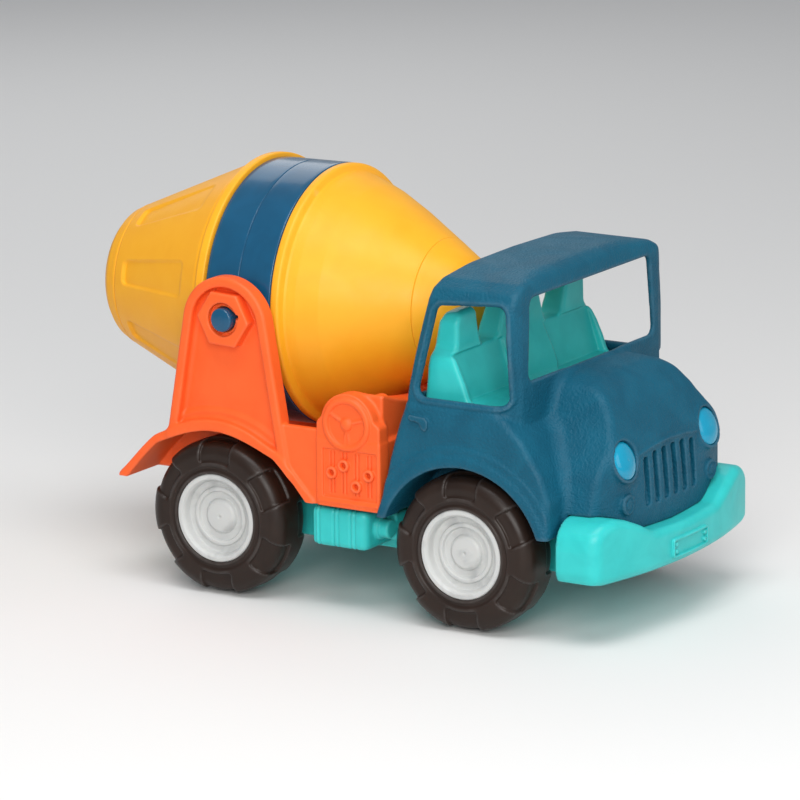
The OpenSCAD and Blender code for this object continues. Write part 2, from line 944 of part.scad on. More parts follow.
// Frame of the left headlight; its Z points out of the lens, which leans back
module on_lamp() {
    translate([lamp_x, lamp_y, lamp_z]) rotate([0, 90 - lamp_lean, 0]) children();
}

module lamp_sockets() {
    both_sides() {
        on_lamp() translate([0, 0, -socket_l]) cylinder(r = lamp_r + socket_rim, h = socket_l + 0.5);
        translate([120, lamp_y, 57]) rotate([0, 90, 0]) cylinder(r = 4.6, h = 12.6);
    }
}

module lamp_holes() {
    both_sides()
        on_lamp() translate([0, 0, -lamp_stem]) cylinder(r = lamp_r, h = 20);
}

// Lens with a stem that plugs into its socket; made for the left side
module headlight() {
    dome = 2.2;
    dome_r = (lamp_r * lamp_r + dome * dome) / (2 * dome);
    on_lamp()
        rotate_extrude() {
            translate([0, -lamp_stem]) square([lamp_r, lamp_stem]);
            intersection() {
                translate([0, -eps]) square([lamp_r, dome + 1]);
                translate([0, dome - dome_r]) circle(dome_r, $fn = 180);
            }
        }
}

module headlight_left() { color(sky_blue) headlight(); }
module headlight_right() { color(sky_blue) right_side() headlight(); }

// ---- seats ----

// Side view of the seats in X and Z
module seat_side() {
    polygon([
        [45.8, 98], [46.6, 105], [47, 110], [47.6, 122], [49.2, 131], [51, 134.5], [54, 135.8], [56.5, 135.5],
        [58, 133.5], [58, 119], [61.4, 112], [64.5, 105], [67.5, 97], [80, 96], [84.6, 93], [84.6, 86], [45.8, 86]
    ]);
}

// Front view of the seats in Y and Z: three backs with a notch between each two
module seat_front() {
    half = [
        [0, 86], [60, 86], [60, 97], [59.5, 112], [58.5, 116], [55, 119], [54, 121], [53.5, 131], [51, 134.5],
        [46, 136], [39, 136], [36.5, 124], [35, 120.5], [33, 119], [21, 119], [19, 120.5], [17.5, 124],
        [13, 136], [0, 136]
    ];
    polygon(half);
    mirror([1, 0]) polygon(half);
}

module seat_insert() {
    base_top = 86.5;
    base_rear_x = 46.5;
    base_front_x = 84.6;
    base_y = 60;
    base_wall = 2.5;
    base_z = cab_floor_z + 2.6;
    color(aqua)
        union() {
            intersection() {
                along_y(-60, 60) seat_side();
                along_x(40, 100) seat_front();
            }
            difference() {
                translate([base_rear_x, -base_y, base_z])
                    cube([base_front_x - base_rear_x, 2 * base_y, base_top - base_z]);
                translate([base_rear_x + base_wall, base_wall - base_y, base_z - 1])
                    cube([
                        base_front_x - base_rear_x - 2 * base_wall,
                        2 * (base_y - base_wall),
                        base_top - base_z - base_wall + 1
                    ]);
            }
        }
}

cab_shell();
seat_insert();
headlight_right();
headlight_left();
front_bumper();
underbody();
side_tank_right();
side_tank_left();
frame_right();
frame_left();
upright_right();
upright_left();
control_panel_right();
control_panel_left();
drum_ring_front();
drum_ring_rear();
trunnion_pin_right();
trunnion_pin_left();
drum_nose_cap();
drum_front_shell();
drum_barrel();
drum_rear_shell();
drum_mouth_rim();
front_axle();
front_hub_right();
front_hub_left();
front_tyre_right();
front_tyre_left();
rear_axle();
rear_hub_right();
rear_hub_left();
rear_tyre_right();
rear_tyre_left();
underbody_screws();
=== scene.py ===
"""Looks of the toy cement mixer truck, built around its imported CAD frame.

Lengths in this file are millimetres in the truck's own frame (+X forward, +Y left, +Z up),
and turn into metres only where a mesh, a light or the camera is made. Moulded pieces are
written as distance fields, negative inside the plastic, and meshed by surface nets.
Turned pieces, such as the drum's shells, are lathed from a profile.
"""
import json
import math

import bpy
import numpy as np
from mathutils import Matrix, Vector


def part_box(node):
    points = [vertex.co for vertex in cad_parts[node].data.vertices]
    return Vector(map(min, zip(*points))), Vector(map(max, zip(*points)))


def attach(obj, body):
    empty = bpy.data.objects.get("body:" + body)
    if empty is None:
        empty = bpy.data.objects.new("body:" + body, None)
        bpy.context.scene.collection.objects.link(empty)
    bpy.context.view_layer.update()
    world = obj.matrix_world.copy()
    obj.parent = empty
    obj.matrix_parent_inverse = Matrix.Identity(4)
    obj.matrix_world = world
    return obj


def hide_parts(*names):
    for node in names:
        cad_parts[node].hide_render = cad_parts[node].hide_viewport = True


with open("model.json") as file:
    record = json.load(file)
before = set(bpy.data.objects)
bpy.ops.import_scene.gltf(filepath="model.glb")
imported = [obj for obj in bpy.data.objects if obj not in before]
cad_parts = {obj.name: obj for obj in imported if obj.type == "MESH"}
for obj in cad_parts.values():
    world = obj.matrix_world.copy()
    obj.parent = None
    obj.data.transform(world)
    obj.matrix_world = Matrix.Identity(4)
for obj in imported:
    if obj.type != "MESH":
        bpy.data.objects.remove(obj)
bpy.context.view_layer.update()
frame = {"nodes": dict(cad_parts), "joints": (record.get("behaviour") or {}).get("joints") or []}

MM = 0.001
NODES = frame["nodes"]
JOINTS = {j["name"]: j for j in frame["joints"]}


def low(node):
    """Lowest corner of a CAD node, in mm."""
    return np.array(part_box(node)[0]) / MM


def high(node):
    """Highest corner of a CAD node, in mm."""
    return np.array(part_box(node)[1]) / MM


def joint_place(name):
    return np.array(JOINTS[name]["pos_m"]) / MM


PIVOT = joint_place("drum_tilt")
SPIN_AXIS = np.array(JOINTS["drum_spin"]["axis"])
FRONT_AXLE = joint_place("front_wheels_roll")
REAR_AXLE = joint_place("rear_wheels_roll")
WHEEL_FACE = high("front_tyre_left")[1]
TYRE_W = WHEEL_FACE - low("front_tyre_left")[1]
TYRE_R = (high("front_tyre_left")[2] - low("front_tyre_left")[2]) / 2
HUB_R = (high("front_hub_left")[2] - low("front_hub_left")[2]) / 2
FRAME_Y = high("frame_left")[1]
FRAME_BOTTOM = 47
FRAME_WALL = 2.8
DECK_Z = 52
HOUSE_Y = 42
SCREW_Y = 24
POST_R = 4.5
# A turned profile stops this far from its axis, so that no face has zero area
FLAT_ON_AXIS = 0.05


# ---- distance fields ----

def both(a, b, r=0.0):
    """Where a and b overlap; the edge between them is rounded with radius r."""
    if r == 0:
        return np.maximum(a, b)
    a, b = a + r, b + r
    return np.minimum(np.maximum(a, b), 0) + np.hypot(np.maximum(a, 0), np.maximum(b, 0)) - r


def either(a, b, r=0.0):
    """a and b together; the corner between them is filled with radius r."""
    return -both(-a, -b, r)


def cut(a, b, r=0.0):
    """a without b."""
    return both(a, -b, r)


def slab(v, v0, v1):
    return np.maximum(v0 - v, v - v1)


def disc(u, v, centre, r):
    return np.hypot(u - centre[0], v - centre[1]) - r


def box(u, v, low_corner, high_corner, r=0.0):
    return both(slab(u, low_corner[0], high_corner[0]), slab(v, low_corner[1], high_corner[1]), r)


def rounded_corners(points, steps=5):
    """Turns (u, v, radius) corners into short edges along their arcs; the radius may be left out."""
    out = []
    count = len(points)
    for i, point in enumerate(points):
        here = np.array(point[:2], float)
        radius = point[2] if len(point) > 2 else 0
        if radius == 0:
            out.append(here)
            continue
        to_last = np.array(points[i - 1][:2], float) - here
        to_next = np.array(points[(i + 1) % count][:2], float) - here
        reach = 0.49 * min(np.linalg.norm(to_last), np.linalg.norm(to_next))
        to_last /= np.linalg.norm(to_last)
        to_next /= np.linalg.norm(to_next)
        half = math.acos(np.clip(to_last @ to_next, -1, 1)) / 2
        back = min(radius / math.tan(half), reach)
        start, end = here + back * to_last, here + back * to_next
        for t in np.linspace(0, 1, steps):
            out.append((1 - t) ** 2 * start + 2 * t * (1 - t) * here + t ** 2 * end)
    return out


def outline(points):
    """Signed distance function of a closed outline of (u, v, radius) corners."""
    corners = rounded_corners(points)
    edges = list(zip(corners, corners[1:] + corners[:1]))

    def distance(u, v):
        nearest = np.float32(1e9)
        inside = False
        for (au, av), (bu, bv) in edges:
            du, dv = bu - au, bv - av
            wu, wv = u - au, v - av
            t = np.clip((wu * du + wv * dv) / (du * du + dv * dv + 1e-12), 0, 1)
            nearest = np.minimum(nearest, (wu - du * t) ** 2 + (wv - dv * t) ** 2)
            if dv != 0:
                inside = inside ^ (((av > v) != (bv > v)) & (wu < du * wv / dv))
        return np.where(inside, -1, 1) * np.sqrt(nearest)

    return distance


def mirrored(half):
    """Closed outline from its right half, given from bottom to top."""
    return [*half, *[(-p[0], *p[1:]) for p in reversed(half) if p[0] != 0]]


# ---- meshing ----

def ticks(*stretches):
    """Grid lines: each stretch is (start, end, step), and the next starts where the last ends."""
    lines = []
    for start, end, step in stretches:
        count = max(1, round((end - start) / (step * 1)))
        lines.append(np.linspace(start, end, count, endpoint=False))
    lines.append([stretches[-1][1]])
    return np.concatenate(lines)


def surface_net(values, axes):
    """Quads round the zero surface of values; one point in each grid cell that the surface crosses."""
    inside = values < 0
    cells = np.array(values.shape) - 1
    owners, places, quads = [], [], []
    for axis in range(3):
        first = tuple(slice(None, -1) if d == axis else slice(None) for d in range(3))
        last = tuple(slice(1, None) if d == axis else slice(None) for d in range(3))
        at = np.argwhere(inside[first] != inside[last])
        beyond = at.copy()
        beyond[:, axis] += 1
        fa, fb = values[tuple(at.T)], values[tuple(beyond.T)]
        place = np.stack([axes[d][at[:, d]] for d in range(3)], 1)
        place[:, axis] += fa / (fa - fb) * (axes[axis][beyond[:, axis]] - place[:, axis])
        u, v = (axis + 1) % 3, (axis + 2) % 3
        ring = []
        for du, dv in ((-1, -1), (0, -1), (0, 0), (-1, 0)):
            cell = at.copy()
            cell[:, u] += du
            cell[:, v] += dv
            ring.append(np.ravel_multi_index(cell.T, cells))
        ring = np.stack(ring, 1)
        ring[fa > 0] = ring[fa > 0][:, ::-1]
        quads.append(ring)
        owners.append(ring.ravel())
        places.append(np.repeat(place, 4, axis=0))
    owners, places, quads = np.concatenate(owners), np.concatenate(places), np.concatenate(quads)
    used, index = np.unique(owners, return_inverse=True)
    count = np.bincount(index)
    points = np.stack([np.bincount(index, weights=places[:, d]) / count for d in range(3)], 1)
    return points, np.searchsorted(used, quads)


def settle(field, points, reach):
    """Moves points onto the field's zero surface, at most reach each time."""
    nudge = 0.02
    for _ in range(2):
        here = field(*points.T)
        slope = np.stack([
            field(*(points + nudge * np.eye(3)[d]).T) - here for d in range(3)
        ], 1) / nudge
        move = -here[:, None] * slope / np.maximum((slope ** 2).sum(1), 0.2)[:, None]
        length = np.linalg.norm(move, axis=1)[:, None]
        points = points + move * np.minimum(1, reach / np.maximum(length, 1e-9))
    return points


def moulded(name, field, axes, material, mirror_y=False):
    """Object from a distance field, or from its mirror image in Y."""
    xs, ys, zs = axes
    values = field(
        xs[:, None, None].astype(np.float32), ys[None, :, None].astype(np.float32),
        zs[None, None, :].astype(np.float32),
    )
    values = np.array(np.broadcast_to(values, (len(xs), len(ys), len(zs))), np.float32)
    values[values == 0] = 1e-6
    points, quads = surface_net(values, axes)
    points = settle(field, points, 0.3)
    if mirror_y:
        points = points * [1, -1, 1]
        quads = quads[:, ::-1]
    return mesh_object(name, points, quads.tolist(), material)


def mesh_object(name, points, faces, material):
    mesh = bpy.data.meshes.new(name)
    mesh.from_pydata((points * MM).tolist(), [], faces)
    mesh.polygons.foreach_set("use_smooth", np.ones(len(mesh.polygons), bool))
    mesh.materials.append(material)
    piece = bpy.data.objects.new(name, mesh)
    bpy.context.scene.collection.objects.link(piece)
    return piece


def refined(profile, longest):
    """Splits a profile's edges so that none is longer than longest."""
    out = []
    for a, b in zip(profile, profile[1:] + profile[:1]):
        a, b = np.array(a, float), np.array(b, float)
        parts = max(1, math.ceil(np.linalg.norm(b - a) / longest))
        out += [a + (b - a) * t / parts for t in range(parts)]
    return np.array(out)


def lathed(name, profile, turns, material, place, longest=3.0, relief=None):
    """Closed ring of a (radius, distance) profile turned about an axis; place maps it into the truck."""
    section = refined([tuple(p) for p in rounded_corners(profile, 4)], longest)
    angles = np.linspace(0, 2 * math.pi, turns, endpoint=False)
    radius = np.broadcast_to(section[:, 0][:, None], (len(section), turns))
    along = np.broadcast_to(section[:, 1][:, None], (len(section), turns))
    if relief is not None:
        radius = radius - relief(radius, along, np.degrees(angles)[None, :])
    points = place(radius, along, angles[None, :]).reshape(-1, 3)
    rows, columns = np.meshgrid(np.arange(len(section)), np.arange(turns), indexing="ij")
    next_row, next_column = (rows + 1) % len(section), (columns + 1) % turns
    quads = np.stack([
        rows * turns + columns, rows * turns + next_column,
        next_row * turns + next_column, next_row * turns + columns,
    ], -1).reshape(-1, 4)
    piece = mesh_object(name, points, quads.tolist(), material)
    outwards(piece)
    return piece


def outwards(piece):
    """Turns every face of a closed piece outwards, and joins points that lie together."""
    import bmesh
    work = bmesh.new()
    work.from_mesh(piece.data)
    bmesh.ops.remove_doubles(work, verts=work.verts, dist=2e-6)
    bmesh.ops.recalc_face_normals(work, faces=work.faces)
    work.to_mesh(piece.data)
    work.free()
    piece.data.polygons.foreach_set("use_smooth", np.ones(len(piece.data.polygons), bool))


def on_drum_axis(radius, along, angle):
    """Drum places: along its axis from the pivot, angle 0 at the truck's right and 90 at the top."""
    axis = SPIN_AXIS
    up = np.array([-axis[2], 0, axis[0]])
    right = np.array([0, -1, 0])
    across = radius * np.cos(angle)
    rise = radius * np.sin(angle)
    return PIVOT + along[..., None] * axis + across[..., None] * right + rise[..., None] * up


def on_wheel_axis(centre, side):
    """Wheel places: along is the distance from the truck's middle, towards side."""
    def place(radius, along, angle):
        x = centre[0] + radius * np.cos(angle)
        z = centre[2] + radius * np.sin(angle)
        return np.stack([x, np.broadcast_to(side * along, x.shape), z], -1)
    return place


def on_lamp_axis(side):
    """Headlight places: along is the distance out of the socket, on an axis that leans back."""
    def place(radius, along, angle):
        across, rise = radius * np.cos(angle), radius * np.sin(angle)
        x = LAMP[0] + along * math.cos(LAMP_LEAN) - rise * math.sin(LAMP_LEAN)
        z = LAMP[2] + along * math.sin(LAMP_LEAN) + rise * math.cos(LAMP_LEAN)
        return np.stack([x, side * (LAMP[1] + across), z], -1)
    return place


# ---- materials ----

def add_node(tree, kind, values=None, **settings):
    node = tree.nodes.new(kind)
    for key, value in settings.items():
        setattr(node, key, value)
    for key, value in (values or {}).items():
        node.inputs[key].default_value = value
    return node


def plastic(name, colour, shade, roughness, grain=0.02, grain_size=0.35, edge_highlight=0.12, coat=0.0,
            ripple=0.0, subsurface=0.0, specular=0.3, mottle=14.0, mottle_range=(0.35, 0.65)):
    """Moulded plastic, with a painted highlight along its convex edges. colour and shade are linear; grain is
    the depth of the surface texture in mm.
    """
    material = bpy.data.materials.new(name)
    material.use_nodes = True
    tree = material.node_tree
    tree.nodes.clear()
    link = tree.links.new
    output = add_node(tree, "ShaderNodeOutputMaterial")
    surface = add_node(tree, "ShaderNodeBsdfPrincipled", {
        "IOR": 1.49, "Coat Weight": coat, "Coat Roughness": 0.08, "Specular IOR Level": specular,
        "Subsurface Weight": subsurface, "Subsurface Scale": 0.002,
    })
    surface.inputs["Subsurface Radius"].default_value = (1.0, 0.6, 0.3)
    link(surface.outputs["BSDF"], output.inputs["Surface"])
    place = add_node(tree, "ShaderNodeTexCoord")

    def noise(size_mm, detail=3.0, distortion=0.0):
        node = add_node(tree, "ShaderNodeTexNoise", {
            "Scale": 1000 / size_mm, "Detail": detail, "Distortion": distortion,
        })
        link(place.outputs["Object"], node.inputs["Vector"])
        return node

    # Slow colour variation of the pigment
    patches = noise(mottle, 4.0, 0.6)
    spread = add_node(tree, "ShaderNodeMapRange", {
        "From Min": mottle_range[0], "From Max": mottle_range[1], "To Min": 0.0, "To Max": 1.0,
    })
    link(patches.outputs["Fac"], spread.inputs["Value"])
    pigment = add_node(tree, "ShaderNodeMix", data_type="RGBA")
    pigment.inputs["A"].default_value = (*colour, 1)
    pigment.inputs["B"].default_value = (*shade, 1)
    link(spread.outputs["Result"], pigment.inputs["Factor"])
    # Painted highlight: convex edges are painted lighter, broken up by noise, while hollows and flat faces
    # keep the darker plain colour
    form = add_node(tree, "ShaderNodeNewGeometry")
    edge = add_node(tree, "ShaderNodeMapRange", {
        "From Min": 0.515, "From Max": 0.60, "To Min": 0.0, "To Max": edge_highlight,
    })
    link(form.outputs["Pointiness"], edge.inputs["Value"])
    highlight_breakup = noise(3.5, 5.0)
    highlight_amount = add_node(tree, "ShaderNodeMath", operation="MULTIPLY")
    link(edge.outputs["Result"], highlight_amount.inputs[0])
    link(highlight_breakup.outputs["Fac"], highlight_amount.inputs[1])
    with_highlight = add_node(tree, "ShaderNodeMix", data_type="RGBA")
    highlight_colour = tuple(min(1.0, 0.55 * c + 0.42) for c in colour)
    with_highlight.inputs["B"].default_value = (*highlight_colour, 1)
    link(highlight_amount.outputs["Value"], with_highlight.inputs["Factor"])
    link(pigment.outputs["Result"], with_highlight.inputs["A"])
    link(with_highlight.outputs["Result"], surface.inputs["Base Color"])
    # Gloss varies with handling
    smears = noise(22.0, 4.0, 1.0)
    gloss = add_node(tree, "ShaderNodeMapRange", {
        "From Min": 0.3, "From Max": 0.7, "To Min": roughness - 0.05, "To Max": roughness + 0.07,
    })
    link(smears.outputs["Fac"], gloss.inputs["Value"])
    link(gloss.outputs["Result"], surface.inputs["Roughness"])
    # Surface texture of the mould, over slow waves where the wall has sunk
    fine = noise(grain_size, 2.0)
    texture = add_node(tree, "ShaderNodeBump", {"Strength": 1.0, "Distance": grain * MM})
    link(fine.outputs["Fac"], texture.inputs["Height"])
    if ripple > 0:
        waves = noise(24.0, 1.0)
        sunk = add_node(tree, "ShaderNodeBump", {"Strength": 1.0, "Distance": ripple * MM})
        link(waves.outputs["Fac"], sunk.inputs["Height"])
        link(sunk.outputs["Normal"], texture.inputs["Normal"])
    link(texture.outputs["Normal"], surface.inputs["Normal"])
    return material


def steel():
    """Drawn steel rod, with a fine grain on its surface."""
    # The last number is the strength of the painted highlight on convex edges
    material = plastic("axle_steel", (0.55, 0.56, 0.58), (0.42, 0.43, 0.45), 0.28, 0.01, 0.2, 0.3)
    surface = next(n for n in material.node_tree.nodes if n.type == "BSDF_PRINCIPLED")
    surface.inputs["Metallic"].default_value = 1.0
    return material


def make_materials():
    # The fourth number after the two colours is the strength of the painted highlight on convex edges
    return {
        "cab": plastic("cab_blue", (0.0045, 0.098, 0.165), (0.0035, 0.080, 0.138), 0.50, 0.50, 1.15, 0.22,
                       specular=0.22),
        "orange": plastic("coral_orange", (0.93, 0.130, 0.024), (0.90, 0.118, 0.020), 0.46, 0.02, 0.5, 0.2,
                          subsurface=0.05, ripple=0.03),
        "yellow": plastic("yolk_yellow", (0.90, 0.42, 0.018), (0.88, 0.395, 0.015), 0.42, 0.018, 0.5, 0.15,
                          subsurface=0.06, ripple=0.01),
        "ring": plastic("ring_blue", (0.004, 0.082, 0.175), (0.003, 0.070, 0.150), 0.20, 0.006, 0.4, 0.2,
                        coat=0.25, ripple=0.12, specular=0.4),
        "aqua": plastic("aqua", (0.035, 0.560, 0.545), (0.028, 0.500, 0.490), 0.36, 0.015, 0.5, 0.2,
                        subsurface=0.08, ripple=0.04),
        "lamp": plastic("lamp_blue", (0.003, 0.300, 0.480), (0.002, 0.270, 0.440), 0.18, 0.004, 0.4, 0.1,
                        coat=0.3, specular=0.4),
        "tyre": plastic("tyre_brown", (0.024, 0.0135, 0.0095), (0.018, 0.010, 0.007), 0.34, 0.02, 0.5, 0.3,
                        specular=0.28),
        "hub": plastic("hub_white", (0.56, 0.57, 0.56), (0.36, 0.37, 0.37), 0.40, 0.02, 0.6, 0.1,
                       subsurface=0.04, mottle=11.0, mottle_range=(0.52, 0.78)),
        "steel": steel(),
    }


# ---- cab ----

CAB_WALL = 2.8
ROOF_Z = 155
WAIST_Z = 97
CAB_BOTTOM = 46
FRONT_ARCH = (FRONT_AXLE[0], 32.8)
FRONT_ARCH_R = 39.7
LAMP_R = 8.5
LAMP = np.array([129.8, 36.3, 76])
LAMP_LEAN = math.radians(19)
LAMP_STEM = 5.6

LOWER_SIDE = outline([
    (27.9, CAB_BOTTOM, 2), (30.2, 58, 20), (33.1, 71, 20), (36.8, 84, 20), (41.2, WAIST_Z + 1),
    (84, WAIST_Z + 1), (90, 95, 6), (99, 87, 10), (108, 73, 14), (112, 62, 10), (112, CAB_BOTTOM),
])
LOWER_FRONT = outline(mirrored([
    (0, CAB_BOTTOM), (70, CAB_BOTTOM), (70, 88, 10), (68.9, WAIST_Z, 3), (68, WAIST_Z + 1), (0, WAIST_Z + 1),
]))
UPPER_SIDE = outline([
    (41.5, WAIST_Z - 6), (41.5, WAIST_Z + 3), (42.1, 105, 10), (44.4, 118, 40), (47.2, 132, 30),
    (49.0, 140, 20), (50.3, 146, 4), (51.6, 150.5, 3), (53.6, ROOF_Z, 3), (69, ROOF_Z + 0.4, 20),
    (86, ROOF_Z, 8), (91.6, 151.6, 5), (93, 146, 5), (94.8, WAIST_Z), (94.8, WAIST_Z - 6),
])
UPPER_FRONT = outline(mirrored([
    (0, WAIST_Z - 6), (67.5, WAIST_Z - 6), (68.8, WAIST_Z), (66.7, 118, 60), (63.8, 143, 4),
    (61.6, 147.8, 3), (55.2, 151.2, 5), (35, 154.2, 60), (0, ROOF_Z + 0.4),
]))
UPPER_TOP = outline(mirrored([(0, 20), (69, 20), (69, 94.8, 18), (0, 94.8)]))
HOOD_SIDE = outline([
    (85, 60), (85, 109.4), (100, 109.4, 14), (109, 107.4, 14), (117, 102.5, 14), (122.8, 95.5, 14),
    (126.5, 88.5, 14), (130.4, 80, 14), (134.2, 52, 4), (134.6, 42), (106, 42), (106, 60),
])
HOOD_FRONT = outline(mirrored([
    (0, 30), (57, 30), (57, 56, 20), (53, 70, 20), (48, 78.5, 14), (42.5, 86, 14), (38, 92.5, 14),
    (34.5, 99.5, 12), (31.5, 105, 9), (22, 108.6, 12), (12, 109.3, 12), (0, 109.4),
]))
HOOD_TOP = outline(mirrored([(0, 80), (57, 80), (57, 134, 17), (0, 134)]))
SIDE_WINDOW = outline([(51, 104.5), (57.5, 136.5), (84, 138.5), (86, 104.5)])
REAR_WINDOW = outline(mirrored([(0, 105), (56.5, 105), (54.5, 138), (0, 138)]))
WINDSCREEN = outline(mirrored([(0, 113.5), (50, 113.5), (48, 141), (0, 141)]))
DOOR_HANDLE = outline([
    (43.6, 91.6, 0.8), (44.6, 93, 0.8), (52.0, 92.4, 0.8), (53.4, 91.0, 0.8), (53.4, 88.2, 0.8),
    (52.2, 86.6, 0.8), (50.6, 87.2, 0.8), (49.2, 90.0, 1.2), (45.0, 90.6, 0.8),
])


def cab_body(x, w, z):
    """The cab as a closed block; w is the distance from the truck's middle plane."""
    nose_curve_r = 170
    nose_x = 135
    lower = both(LOWER_SIDE(x, z), LOWER_FRONT(w, z), 2.6)
    upper = both(both(UPPER_SIDE(x, z), UPPER_FRONT(w, z), 2), UPPER_TOP(w, x), 2)
    top = both(HOOD_TOP(w, x), disc(x, w, (nose_x - nose_curve_r, 0), nose_curve_r), 3)
    hood = both(both(HOOD_SIDE(x, z), HOOD_FRONT(w, z), 3), top, 3)
    return either(either(lower, upper, 1.6), hood, 5)


def wheel_room(x, w, z):
    return both(disc(x, z, FRONT_ARCH, FRONT_ARCH_R), 44.4 - w)


GRILLE_COLUMNS = (4, 12, 20)
GRILLE_SLOT_W = 4.4


def grille_slots(w, z):
    """Six upright slots, three on each side of the middle."""
    slots = 1e9
    for column in GRILLE_COLUMNS:
        top, bottom = 75.8 - 0.004 * column ** 2, 53.2
        half = GRILLE_SLOT_W / 2
        slots = np.minimum(slots, box(w, z, (column - half, bottom), (column + half, top), 1.4))
    return slots


def lamp_frame(x, w, z):
    """Distance out of a headlight's socket, and distance from its leaning axis."""
    forward, upward = x - LAMP[0], z - LAMP[2]
    ahead = forward * math.cos(LAMP_LEAN) + upward * math.sin(LAMP_LEAN)
    above = upward * math.cos(LAMP_LEAN) - forward * math.sin(LAMP_LEAN)
    return ahead, np.hypot(w - LAMP[1], above)


def with_arch_flare(solid, x, w, z):
    """Adds the flare round the wheel's opening, in two steps."""
    flare = both(disc(x, z, FRONT_ARCH, FRONT_ARCH_R + 4.4), slab(w, 60, 71.4), 1.2)
    shoulder = both(disc(x, z, FRONT_ARCH, FRONT_ARCH_R + 8.2), slab(w, 60, 70.45), 0.4)
    shoulder = both(shoulder, LOWER_SIDE(x, z) + 0.6, 1)
    return either(either(solid, shoulder, 1.5), both(flare, CAB_BOTTOM - z), 1.6)


def with_sockets(solid, x, w, z):
    """Adds the headlights' sockets and the round relief under each."""
    ahead, lamp_reach = lamp_frame(x, w, z)
    socket = both(lamp_reach - LAMP_R - 1.4, slab(ahead, -12, 0.6), 0.6)
    fog_r, fog_z, fog_x = 4.6, 57, 132.6
    fog_reach = np.hypot(w - LAMP[1], z - fog_z)
    fog = both(fog_reach - fog_r, slab(x, 118, fog_x), 0.9)
    fog = cut(fog, np.hypot(fog_reach - 2.8, x - fog_x - 0.1) - 0.6, 0.3)
    return either(either(solid, socket, 2.2), fog, 0.6)


def with_grille(solid, body, x, w, z):
    """Adds the raised line over the grille, and cuts its slots into the nose."""
    line_z, slot_depth = 78.2, 3.4
    line = both(np.abs(z - line_z + 0.003 * w ** 2) - 0.55, body - 0.7, 0.3)
    solid = either(solid, both(line, both(w - 27, 112 - x)), 0.7)
    slots = both(both(grille_slots(w, z), -(body + slot_depth), 0.3), 118 - x)
    return cut(solid, slots, 0.3)


def with_floor(shell, body, x, w, z):
    """Adds the floor over the wheels, the wheel houses and the screw posts."""
    floor_z, floor_t = 73, 2.6
    floor = both(both(slab(z, floor_z, floor_z + floor_t), slab(x, 35, 126)), body + 1)
    house = both(slab(w, HOUSE_Y, 69.5), disc(x, z, FRONT_ARCH, FRONT_ARCH_R + 2.2))
    house = both(house, CAB_BOTTOM - z)
    shell = either(either(shell, floor, 1), both(house, body + 0.5), 1)
    posts = np.minimum(disc(x, w, (108, SCREW_Y), POST_R), disc(x, w, (46, SCREW_Y), POST_R))
    return either(shell, both(posts, slab(z, CAB_BOTTOM, floor_z + 1)), 0.8)


def without_windows(shell, side_window, x, w, z):
    shell = cut(shell, side_window, 0.8)
    shell = cut(shell, both(REAR_WINDOW(w, z) - 5, x - 56), 1.0)
    return cut(shell, both(WINDSCREEN(w, z) - 4, 84 - x), 1.0)


def cab_field(x, y, z):
    w = np.abs(y)
    body = cab_body(x, w, z)
    solid = with_arch_flare(body, x, w, z)
    solid = with_sockets(solid, x, w, z)
    solid = with_grille(solid, body, x, w, z)
    handle = both(DOOR_HANDLE(x, z), slab(w, 64, 71.3), 0.25)
    solid = either(solid, handle, 0.12)
    # Raised lip round the side windows
    side_window = SIDE_WINDOW(x, z) - 4
    lip = both(np.abs(side_window - 1.75) - 0.75, body - 0.75, 0.4)
    solid = either(solid, both(lip, 50 - w), 0.4)
    # The nose has a thicker wall behind the grille's slots
    wall = CAB_WALL + np.where((x > 112) & (w < 27) & (z < 80), 2.9, 0)
    shell = cut(solid, body + wall)
    shell = with_floor(shell, body, x, w, z)
    shell = without_windows(shell, side_window, x, w, z)
    shell = cut(shell, wheel_room(x, w, z), 1.0)
    # Room for the underbody, the bumper and the lamps
    shell = cut(shell, both(both(slab(x, 95, 121.5), w - 41.5), z - CAB_BOTTOM))
    shell = cut(shell, bumper_room(x, w, z, 113.8, 0.15))
    ahead, lamp_reach = lamp_frame(x, w, z)
    lamp_hole = both(lamp_reach - LAMP_R, -LAMP_STEM - ahead)
    return both(cut(shell, lamp_hole, 0.5), 42 - z)


def make_cab(material):
    axes = (
        ticks((25, 42, 0.95), (42, 55, 0.6), (55, 112, 0.95), (112, 136, 0.6)),
        ticks((-73.5, -68, 0.6), (-68, -26, 1.0), (-26, 26, 0.7), (26, 68, 1.0), (68, 73.5, 0.6)),
        ticks((40, 85, 0.9), (85, 107, 0.65), (107, 157, 0.95)),
    )
    return moulded("cab_body", cab_field, axes, material)


# ---- bumper ----

BUMPER_FRONT = high("front_bumper")[0]
BUMPER_Y = high("front_bumper")[1]
BUMPER_SHAPE = outline(mirrored([
    (0, 26.5), (60, 27, 4), (66, 28, 4), (BUMPER_Y, 32, 5), (BUMPER_Y, 42, 9), (66.8, 49, 9),
    (61, 53.6, 10), (53, 54.8, 10), (45, 52.7, 12), (36, 49, 12), (27, 44.6, 12), (0, 43.5),
]))
BUMPER_TOP = outline(mirrored([(0, 90), (BUMPER_Y, 90), (BUMPER_Y, 144.3, 14), (0, 144.3)]))


def bumper_room(x, w, z, rear_x, gap=0.0):
    curve_r, face = 255, 0.8
    top = both(BUMPER_TOP(w, x), disc(x, w, (BUMPER_FRONT - face - curve_r, 0), curve_r), 6)
    return both(both(BUMPER_SHAPE(w, z), top, 0 if gap else 4.2), rear_x - x) - gap


